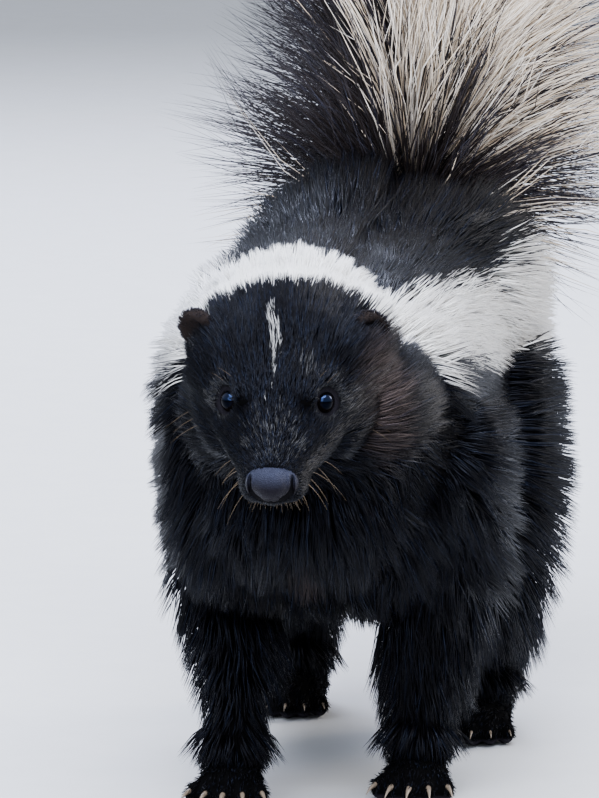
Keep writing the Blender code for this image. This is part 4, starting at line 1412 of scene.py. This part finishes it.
# %% [markdown]
# # The nose pad
# The pad is bare leathery skin, cobbled in cells of about a third of a millimetre and always a
# little moist. Its middle bulges, and round each side runs a comma: a narrow slit from the top that
# widens into the nostril below. The pad is its own piece, sunk into the skin, because real hair
# stops at its edge too.


# %% Nose
# The comma on the pad's front in mm: to the side, up, and half the width of its line
COMMA = [(5.9, 4.4, 0.35), (6.5, 3.0, 0.60), (6.6, 1.2, 0.75), (6.1, -0.6, 1.05)]
COMMA += [(4.9, -2.2, 1.70), (3.2, -3.0, 1.50)]
GROOVE_HALF, GROOVE_DEPTH = 0.0006, 0.0004


def nostril(pad, side):
    """A tube along the comma, laid on the pad's surface, that presses the nostril into it."""
    from_front = in_head(0, *PAD_AT)
    rows = []
    for x, z, half in COMMA:
        start = from_front + Vector((side * x * 1e-3, -0.02, z * 1e-3))
        hit, location, _, _ = pad.ray_cast(start, Vector((0, 1, 0)))
        deep = location.y if hit else from_front.y + 0.003
        rows.append((start.x, deep + 0.0003, start.z, half * 1e-3, 0.0014 + half * 0.7e-3))
    return tube("nostril", rows, sides=16, steps=24, dome=0.5)


def make_nose():
    tip = in_head(0, *PAD_AT)
    parts = [
        ellipsoid("pad", tip + Vector((0, 0.0058, 0.0004)), (0.0064, 0.0062, 0.0056)),
        ellipsoid("crest", tip + Vector((0, 0.0082, 0.0024)), (0.0070, 0.0056, 0.0038)),
    ]
    for side in SIDES.values():
        centre = tip + Vector((side * 0.0048, 0.0064, -0.0004))
        parts.append(ellipsoid("wing", centre, (0.0034, 0.0044, 0.0048)))
    pad = fused("nose_pad", parts, voxel=0.00032, smoothing=6)
    for side in SIDES.values():
        boolean(pad, nostril(pad, side), "DIFFERENCE")
    pad = fused("nose_pad", [pad], voxel=0.00026, smoothing=3)
    # A shallow groove runs down the middle from the nostrils to the lip
    for vertex in pad.data.vertices:
        x, y, z = vertex.co
        if abs(x) < GROOVE_HALF and y < tip.y + 0.004 and z < tip.z - 0.0022:
            vertex.co.y += GROOVE_DEPTH * (1 - abs(x) / GROOVE_HALF)
    pad.data.transform(head_frame())
    pad.data.shade_smooth()
    return pad


nose_pad = make_nose()
print("nose pad", len(nose_pad.data.vertices), "points")


# %% Nose leather
PAD_SHADED_BELOW, PAD_SKYLIT_ABOVE = 0.1118, 0.1166


def nose_leather():
    made, tree = new_material("moist_nose_leather_painted_skylight")
    place = object_place(tree)
    cobbles = {"Vector": place, "Scale": 2900.0, "Randomness": 0.9}
    cells = node(tree, "ShaderNodeTexVoronoi", cobbles)
    mottle = noise(tree, place, 420.0, 3.0)
    height = node(tree, "ShaderNodeSeparateXYZ", {0: place}).outputs[2]
    # Painted light: the pad is brown-black at its lower edge, partly its own colour and partly
    # painted shade, and slate from about 5 mm above it, a painted sky light on its top
    low = ramp(tree, height, PAD_SHADED_BELOW, PAD_SKYLIT_ABOVE)
    colour = mixed(tree, low, linear("#080504"), linear("#2d303d"))
    inputs = {
        "Base Color": mixed(tree, scaled(tree, mottle, 0.5), colour, linear("#1a171c")),
        "Roughness": 0.34,
        "Normal": bump_of(tree, cells.outputs["Distance"], 0.8, 0.00030),
        "IOR": 1.42,
        "Specular IOR Level": 0.15,
        # The lilac tint on the shine is painted sky colour
        "Specular Tint": linear("#bcc0ea"),
    }
    finish_with(tree, inputs)
    return made


nose_pad.data.materials.append(nose_leather())

# %% [markdown]
# # Eyes
# A skunk's eye is a small dark bead: a brown-black iris round a wide pupil under a clear bulging
# cornea that is always wet. The ball is a fine sphere with its front raised a little, and the angle
# from its axis is kept on its points, so that pupil and iris are drawn round the axis. A level cut
# parts the ball in two, so that what the eye mirrors below its middle can differ.


# %% Eyeballs
CORNEA_RISE, CORNEA_EDGE = 0.00025, math.radians(42)
MIRROR_LINE = 0.0006


def make_eyeball(side, label):
    centre, facing = eye_centre(side), eye_facing(side)
    turn = facing.to_track_quat("Z", "Y").to_matrix().to_4x4()
    size = [EYE_RADIUS] * 3
    ball = ellipsoid(f"eyeball_{label}", centre, size, turn, segments=64, rings=48)
    angles = []
    for vertex in ball.data.vertices:
        away = vertex.co - centre
        angle = away.angle(facing)
        vertex.co += away.normalized() * CORNEA_RISE * max(0.0, 1 - (angle / CORNEA_EDGE) ** 2)
        angles.append(math.degrees(angle) / 90)
    carry(ball.data, "off_axis", "FLOAT", angles)
    ball.data.transform(head_frame())
    middle = head_frame() @ (centre + facing * EYE_RADIUS) + Vector((0, 0, MIRROR_LINE))
    work = bmesh.new()
    work.from_mesh(ball.data)
    whole = work.verts[:] + work.edges[:] + work.faces[:]
    bmesh.ops.bisect_plane(work, geom=whole, plane_co=middle, plane_no=(0, 0, 1))
    for face in work.faces:
        face.material_index = int(face.calc_center_median().z < middle.z)
    work.to_mesh(ball.data)
    work.free()
    ball.data.shade_smooth()
    return ball


# %% Wet eye
def wet_eye(name, mirror):
    made, tree = new_material(name)
    angle = node(tree, "ShaderNodeAttribute", attribute_name="off_axis").outputs["Fac"]
    # Fibres of the iris, 0.2 mm apart
    fibres = noise(tree, object_place(tree), 2500.0, 2.0)
    brown = mixed(tree, fibres, linear("#050303"), linear("#0b0705"))
    colour = mixed(tree, ramp(tree, angle, 0.22, 0.27), linear("#010101"), brown)
    inputs = {
        "Base Color": mixed(tree, ramp(tree, angle, 0.46, 0.54), colour, linear("#020202")),
        "Roughness": 0.02,
        "IOR": 1.376,
        "Specular IOR Level": mirror,
        # The blue tint on the reflection is painted sky colour
        "Specular Tint": linear("#86adff"),
    }
    finish_with(tree, inputs)
    return made


# The photograph's eyes mirror blue sky down to their middle and dark ground below it. A studio's
# pale floor would turn the lower half milky, so below the middle the eye mirrors much less.
eye_finishes = [wet_eye("dark_eye_under_sky", 1.0), wet_eye("dark_eye_above_ground", 0.06)]
eyeballs = {}
for label, side in SIDES.items():
    eyeballs[label] = make_eyeball(side, label)
    for finish in eye_finishes:
        eyeballs[label].data.materials.append(finish)
print("eyes", {label: len(ball.data.vertices) for label, ball in eyeballs.items()})

# %% [markdown]
# # Whiskers
# Whiskers are stiff tapering hairs in rows on the pads of the upper lip, with a few over the eye
# and on the cheek, and a fringe of short bristles under the nose. Each follows a path that starts
# straight out of the skin and droops. Geometry Nodes turn all the paths into thin cones at once:
# a circle is swept along each path and shrinks with a taper that the path's points carry.


# %% Geometry Nodes helper
def new_tree(name, inputs):
    """A tree with a geometry input and output and the named inputs; returns it with both ends."""
    tree = bpy.data.node_groups.new(name, "GeometryNodeTree")
    tree.interface.new_socket(name="Geometry", in_out="INPUT", socket_type="NodeSocketGeometry")
    for label, kind in inputs.items():
        tree.interface.new_socket(name=label, in_out="INPUT", socket_type=kind)
    tree.interface.new_socket(name="Geometry", in_out="OUTPUT", socket_type="NodeSocketGeometry")
    return tree, tree.nodes.new("NodeGroupInput"), tree.nodes.new("NodeGroupOutput")


def end_tree(tree, ends, geometry):
    """Smooth shading, instances made real and the material set, as every tree here ends."""
    start, end = ends
    smooth = node(tree, "GeometryNodeSetShadeSmooth", {"Geometry": geometry}).outputs[0]
    real = node(tree, "GeometryNodeRealizeInstances", {"Geometry": smooth}).outputs[0]
    inputs = {"Geometry": real, "Material": start.outputs["Material"]}
    painted = node(tree, "GeometryNodeSetMaterial", inputs)
    tree.links.new(painted.outputs[0], end.inputs[0])


def field(tree, name, kind="FLOAT"):
    """A value that the points carry."""
    return node(tree, "GeometryNodeInputNamedAttribute", {"Name": name}, data_type=kind).outputs[0]


def swept(tree, curve, sides, taper, radius):
    """A round section carried along a curve, as wide as the taper leaves it."""
    circle = node(tree, "GeometryNodeCurvePrimitiveCircle", {"Resolution": sides, "Radius": 1.0})
    inputs = {
        "Curve": curve,
        "Profile Curve": circle.outputs[0],
        "Scale": product(tree, taper, radius),
        "Fill Caps": True,
    }
    return node(tree, "GeometryNodeCurveToMesh", inputs).outputs[0]


def grown_by(obj, tree, values):
    """Runs the tree on obj with these values and keeps the result as a plain mesh."""
    grow = obj.modifiers.new("grow", "NODES")
    grow.node_group = tree
    for item in tree.interface.items_tree:
        if item.in_out == "INPUT" and item.name in values:
            grow[item.identifier] = values[item.name]
    return apply_modifiers(obj)


# %% Whisker paths
CHIN_BRISTLES, WHISKER_STEPS = 36, 7


def whisker_paths():
    """Roots on the face, in the head's axes, with way, length, thickness and droop."""
    chance = np.random.default_rng(31)
    made = []
    for side in SIDES.values():
        for row in range(2):
            for k in range(3):
                high = -0.0060 - 0.0040 * row
                root = in_head(side * (0.0084 + 0.0016 * k), 0.0085 + 0.0060 * k, high)
                way = Vector((side * (0.8 + 0.12 * k), -0.35 + 0.28 * k, -0.45 - 0.25 * row))
                way += Vector(chance.normal(0, 0.15, 3))
                length = chance.uniform(0.007, 0.015)
                made.append((root, way, length, chance.uniform(0.5, 0.9), 0.9))
        for k in range(2):
            root = in_head(side * (0.0125 + 0.0030 * k), 0.0300, 0.0150)
            way = Vector((side * 0.5, -0.2, 1.0))
            made.append((root, way, chance.uniform(0.007, 0.010), 0.6, 0.4))
        for k in range(3):
            root = in_head(side * 0.0230, 0.0380 + 0.004 * k, -0.0080)
            way = Vector((side * 1.0, 0.1, -0.45))
            made.append((root, way, chance.uniform(0.010, 0.016), 0.7, 0.5))
    for k in range(CHIN_BRISTLES):
        turn = (k / (CHIN_BRISTLES - 1) - 0.5) * 2
        root = in_head(0.0086 * turn, 0.0034 + 0.0060 * turn**2, -0.0110)
        way = Vector((0.7 * turn + chance.normal(0, 0.12), -0.55, -0.8))
        made.append((root, way, chance.uniform(0.0022, 0.0052), 0.6, 0.1))
    return made


# %% Whiskers along the paths
def whisker_guides():
    """Each path as a chain of points from the skin, which carry how thick the whisker is."""
    vertices, edges, tapers = [], [], []
    local = head_frame().inverted()
    down = (local.to_3x3() @ Vector((0, 0, -1))).normalized()
    for root, way, length, thick, droop in whisker_paths():
        _, surface, _, _ = skin.closest_point_on_mesh(head_frame() @ root)
        point, way = local @ surface, way.normalized()
        first = len(vertices)
        for step in range(WHISKER_STEPS + 1):
            vertices.append(head_frame() @ point)
            tapers.append(thick * (1 - 0.88 * (step / WHISKER_STEPS) ** 1.3))
            if step:
                edges.append((first + step - 1, first + step))
            way = (way + down * droop * 0.14).normalized()
            point = point + way * length / WHISKER_STEPS
    mesh = bpy.data.meshes.new("whiskers")
    mesh.from_pydata(vertices, edges, [])
    carry(mesh, "taper", "FLOAT", tapers)
    return object_of("whiskers", mesh)


def whisker_tree():
    inputs = {"Root radius": "NodeSocketFloat", "Sides": "NodeSocketInt"}
    tree, start, end = new_tree("whiskers", {**inputs, "Material": "NodeSocketMaterial"})
    paths = node(tree, "GeometryNodeMeshToCurve", {"Mesh": start.outputs["Geometry"]}).outputs[0]
    radius, sides = start.outputs["Root radius"], start.outputs["Sides"]
    end_tree(tree, (start, end), swept(tree, paths, sides, field(tree, "taper"), radius))
    return tree


def horn(name, root_hex, tip_hex, roughness):
    """Smooth keratin in two mixed browns, for whiskers and claws."""
    made, tree = new_material(name)
    grain = noise(tree, object_place(tree), 900.0, 2.0)
    inputs = {
        "Base Color": mixed(tree, grain, linear(root_hex), linear(tip_hex)),
        "Roughness": roughness,
        "Normal": bump_of(tree, grain, 0.2, 0.0001),
        "IOR": 1.55,
    }
    finish_with(tree, inputs)
    return made


# A whisker is 0.18 mm thick at its root, at most
whisker_values = {
    "Root radius": 0.00009,
    "Sides": 6,
    "Material": horn("whisker_keratin_tan", "#4a392b", "#86704f", 0.40),
}
whiskers = grown_by(whisker_guides(), whisker_tree(), whisker_values)
print("whiskers", len(whiskers.data.polygons), "faces")

# %% [markdown]
# # Claws
# A skunk digs with its fore feet, so their claws are long and nearly straight, while those of the
# hind feet are short. Each is a cone of horn that curves down and stops just above the floor. One
# claw of unit length is built once in the tree and set on all twenty toes, turned and sized there.


# %% Claws
CLAW_LENGTH = {"front": 0.0085, "hind": 0.0058}
CLAW_LINE = {"Start": (-0.25, 0, -0.02), "Middle": (0.55, 0, 0.16), "End": (1.0, 0, -0.27)}
CLAW_SIDES = 10


def claw_tree():
    inputs = {"Root radius": "NodeSocketFloat", "Material": "NodeSocketMaterial"}
    tree, start, end = new_tree("claws", inputs)
    line = node(tree, "GeometryNodeCurveQuadraticBezier", {"Resolution": 9, **CLAW_LINE})
    along = node(tree, "GeometryNodeSplineParameter").outputs["Factor"]
    taper = scaled(tree, along, -0.92, 1.0)
    claw = swept(tree, line.outputs[0], CLAW_SIDES, taper, start.outputs["Root radius"])
    way = {"Vector": field(tree, "way", "FLOAT_VECTOR")}
    turn = node(tree, "FunctionNodeAlignRotationToVector", way, axis="X", pivot_axis="Z")
    toes = node(tree, "GeometryNodeMeshToPoints", {"Mesh": start.outputs["Geometry"]})
    inputs = {
        "Points": toes.outputs[0],
        "Instance": claw,
        "Rotation": turn.outputs[0],
        "Scale": field(tree, "length"),
    }
    placed = node(tree, "GeometryNodeInstanceOnPoints", inputs)
    end_tree(tree, (start, end), placed.outputs[0])
    return tree


def claw_points():
    """One point for each toe, which carries the claw's way and length."""
    points, ways, lengths = [], [], []
    for end, label in FEET:
        for toe in range(TOES):
            root, way, reach = toe_place(end, label, toe)
            points.append(root + way * (reach - 0.0008) + Vector((0, 0, 0.0012)))
            ways += list(way)
            lengths.append(CLAW_LENGTH[end])
    mesh = bpy.data.meshes.new("claws")
    mesh.from_pydata(points, [], [])
    carry(mesh, "way", "FLOAT_VECTOR", ways)
    carry(mesh, "length", "FLOAT", lengths)
    return object_of("claws", mesh)


# The radius at the root is a share of the claw's length
claw_values = {"Root radius": 0.17, "Material": horn("claw_horn", "#54463a", "#8a7a66", 0.32)}
claws = grown_by(claw_points(), claw_tree(), claw_values)
print("claws", len(claws.data.polygons), "faces")

# %% [markdown]
# # Put the finishes on
# The skin gets its markings and a second attribute for the places that are bare: under the feet,
# on the lids and, as a trace, round the nose pad.


# %% Skin attributes and materials
def paint_skin():
    points = points_of(skin.data)
    own = to_head(points)
    far, _ = eye_distance(own)
    from_pad = np.linalg.norm(own - np.array(in_head(0, 0.004, -0.0036)), axis=1)
    lids = 0.35 * (1 - soft(far, 0.0042, 0.0054))
    sole = 1 - soft(points[:, 2], 0.0016, 0.0030)
    bare = np.clip(0.06 * (1 - soft(from_pad, 0.0065, 0.0100)) + lids + sole, 0, 1)
    # One chance number and one height for the whole skin keep blotches off it
    chance, height = np.full(len(points), 0.45), np.full(len(points), 0.5)
    solid = np.where(white_skin > 0.5, white_skin * 0.85, white_skin * 0.2)
    marking = np.stack([solid, tan_skin, chance, height], axis=1)
    carry(skin.data, "marking", "FLOAT_COLOR", marking)
    carry(skin.data, "bare", "FLOAT", bare)
    return bare


print("bare skin", round(float(paint_skin().mean()), 3))
skin.data.materials.clear()
skin.data.materials.append(hide_material)
for coat in coats + tail_coats:
    coat.data.materials.append(hair)

# %% [markdown]
# # Floor and light
# The animal stands on a pale floor that curves up into the backdrop, as a studio paper does. The
# photograph's light is an open sky: broad, a little blue, from above. A wide lamp overhead gives
# that, with a broad one in front. A small one behind on the animal's left rims the cheek and the
# flank, and one behind on its right shines through the hairs of the tail.


# %% Studio
FLOOR_RADIUS, WALL_HEIGHT = 7.0, 1.6
WALL_TURNS = 96


def sweep():
    """Floor and backdrop in one: a disc that curves up into a wall all round, without an edge."""
    profile = [(0.8, 0.0), (1.6, 0.0), (3.2, 0.0), (FLOOR_RADIUS, 0.0)]
    for a in np.linspace(0.08, math.pi / 2, 18):
        out, up = FLOOR_RADIUS + WALL_HEIGHT * math.sin(a), WALL_HEIGHT - WALL_HEIGHT * math.cos(a)
        profile.append((out, up))

    def build(work):
        rows = []
        for k in range(WALL_TURNS):
            x, y = math.cos(math.tau * k / WALL_TURNS), math.sin(math.tau * k / WALL_TURNS)
            rows.append([work.verts.new((r * x, r * y, z)) for r, z in profile])
        work.faces.new([row[0] for row in rows])
        bridge(work, rows + rows[:1], closed=False)

    paper = mesh_from("studio_sweep", build)
    paper.data.shade_smooth()
    made, tree = new_material("matt_paper")
    fibre = noise(tree, object_place(tree), 60.0, 3.0)
    colour = mixed(tree, fibre, linear("#bdbcba"), linear("#c5c4c2"))
    finish_with(tree, {"Base Color": colour, "Roughness": 0.9})
    paper.data.materials.append(made)
    paper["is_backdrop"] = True


# %% Lamps
def lamp(name, place, size, power, hex_colour):
    """A soft oval lamp that looks at the animal's middle and isn't seen itself."""
    light = bpy.data.lights.new(name, "AREA")
    light.shape = "ELLIPSE"
    light.size, light.size_y = size
    light.energy = power
    light.color = linear(hex_colour)[:3]
    obj = object_of(name, light)
    obj.location = place
    obj.rotation_euler = (Vector(place) - LIT_PLACE).to_track_quat("Z", "Y").to_euler()
    obj.visible_camera = False


LIT_PLACE = Vector((0, -0.05, 0.13))
sweep()
lamp("sky", (0.10, -0.55, 1.60), (1.8, 1.8), 118, "#e6edff")
lamp("front", (-0.50, -2.90, 1.75), (3.6, 2.4), 95, "#e6eeff")
lamp("rim", (1.3, 0.9, 0.9), (0.8, 0.8), 22, "#f6efe8")
lamp("back", (-0.40, 1.50, 1.30), (1.2, 1.2), 85, "#dbe4ff")
world = bpy.data.worlds.new("studio")
world.use_nodes = True
sky = world.node_tree.nodes["Background"].inputs
sky["Color"].default_value = linear("#d3def2")
sky["Strength"].default_value = 1.0
bpy.context.scene.world = world

# %% [markdown]
# # Hand the pieces over
# Every piece is moved from the maker's place to the row's place inside its mesh and rides on the
# one body. The skin stands for all the nodes of flesh.


# %% Ride, replace and measure
FLESH = [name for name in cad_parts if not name.startswith(("eye", "nose"))]


def hand_over(piece, slot, *nodes):
    piece.data.transform(Matrix.Translation(SHIFT))
    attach(piece, "root")
    if nodes:
        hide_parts(*nodes)


hand_over(skin, "black_fur", *FLESH)
hand_over(nose_pad, "nose_leather", "nose")
for label, ball in eyeballs.items():
    hand_over(ball, "eye", f"eye_{label}")
for coat in coats + tail_coats:
    hand_over(coat, "black_fur")
hand_over(whiskers, "black_fur")
hand_over(claws, "dark_paw")

seen_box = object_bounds()
for axis, name in enumerate("xyz"):
    off = [round((seen[axis] - cad[axis]) * 1e3, 1) for seen, cad in zip(seen_box, cad_box)]
    print(name, "low and high end off the solids' box by", off, "mm")
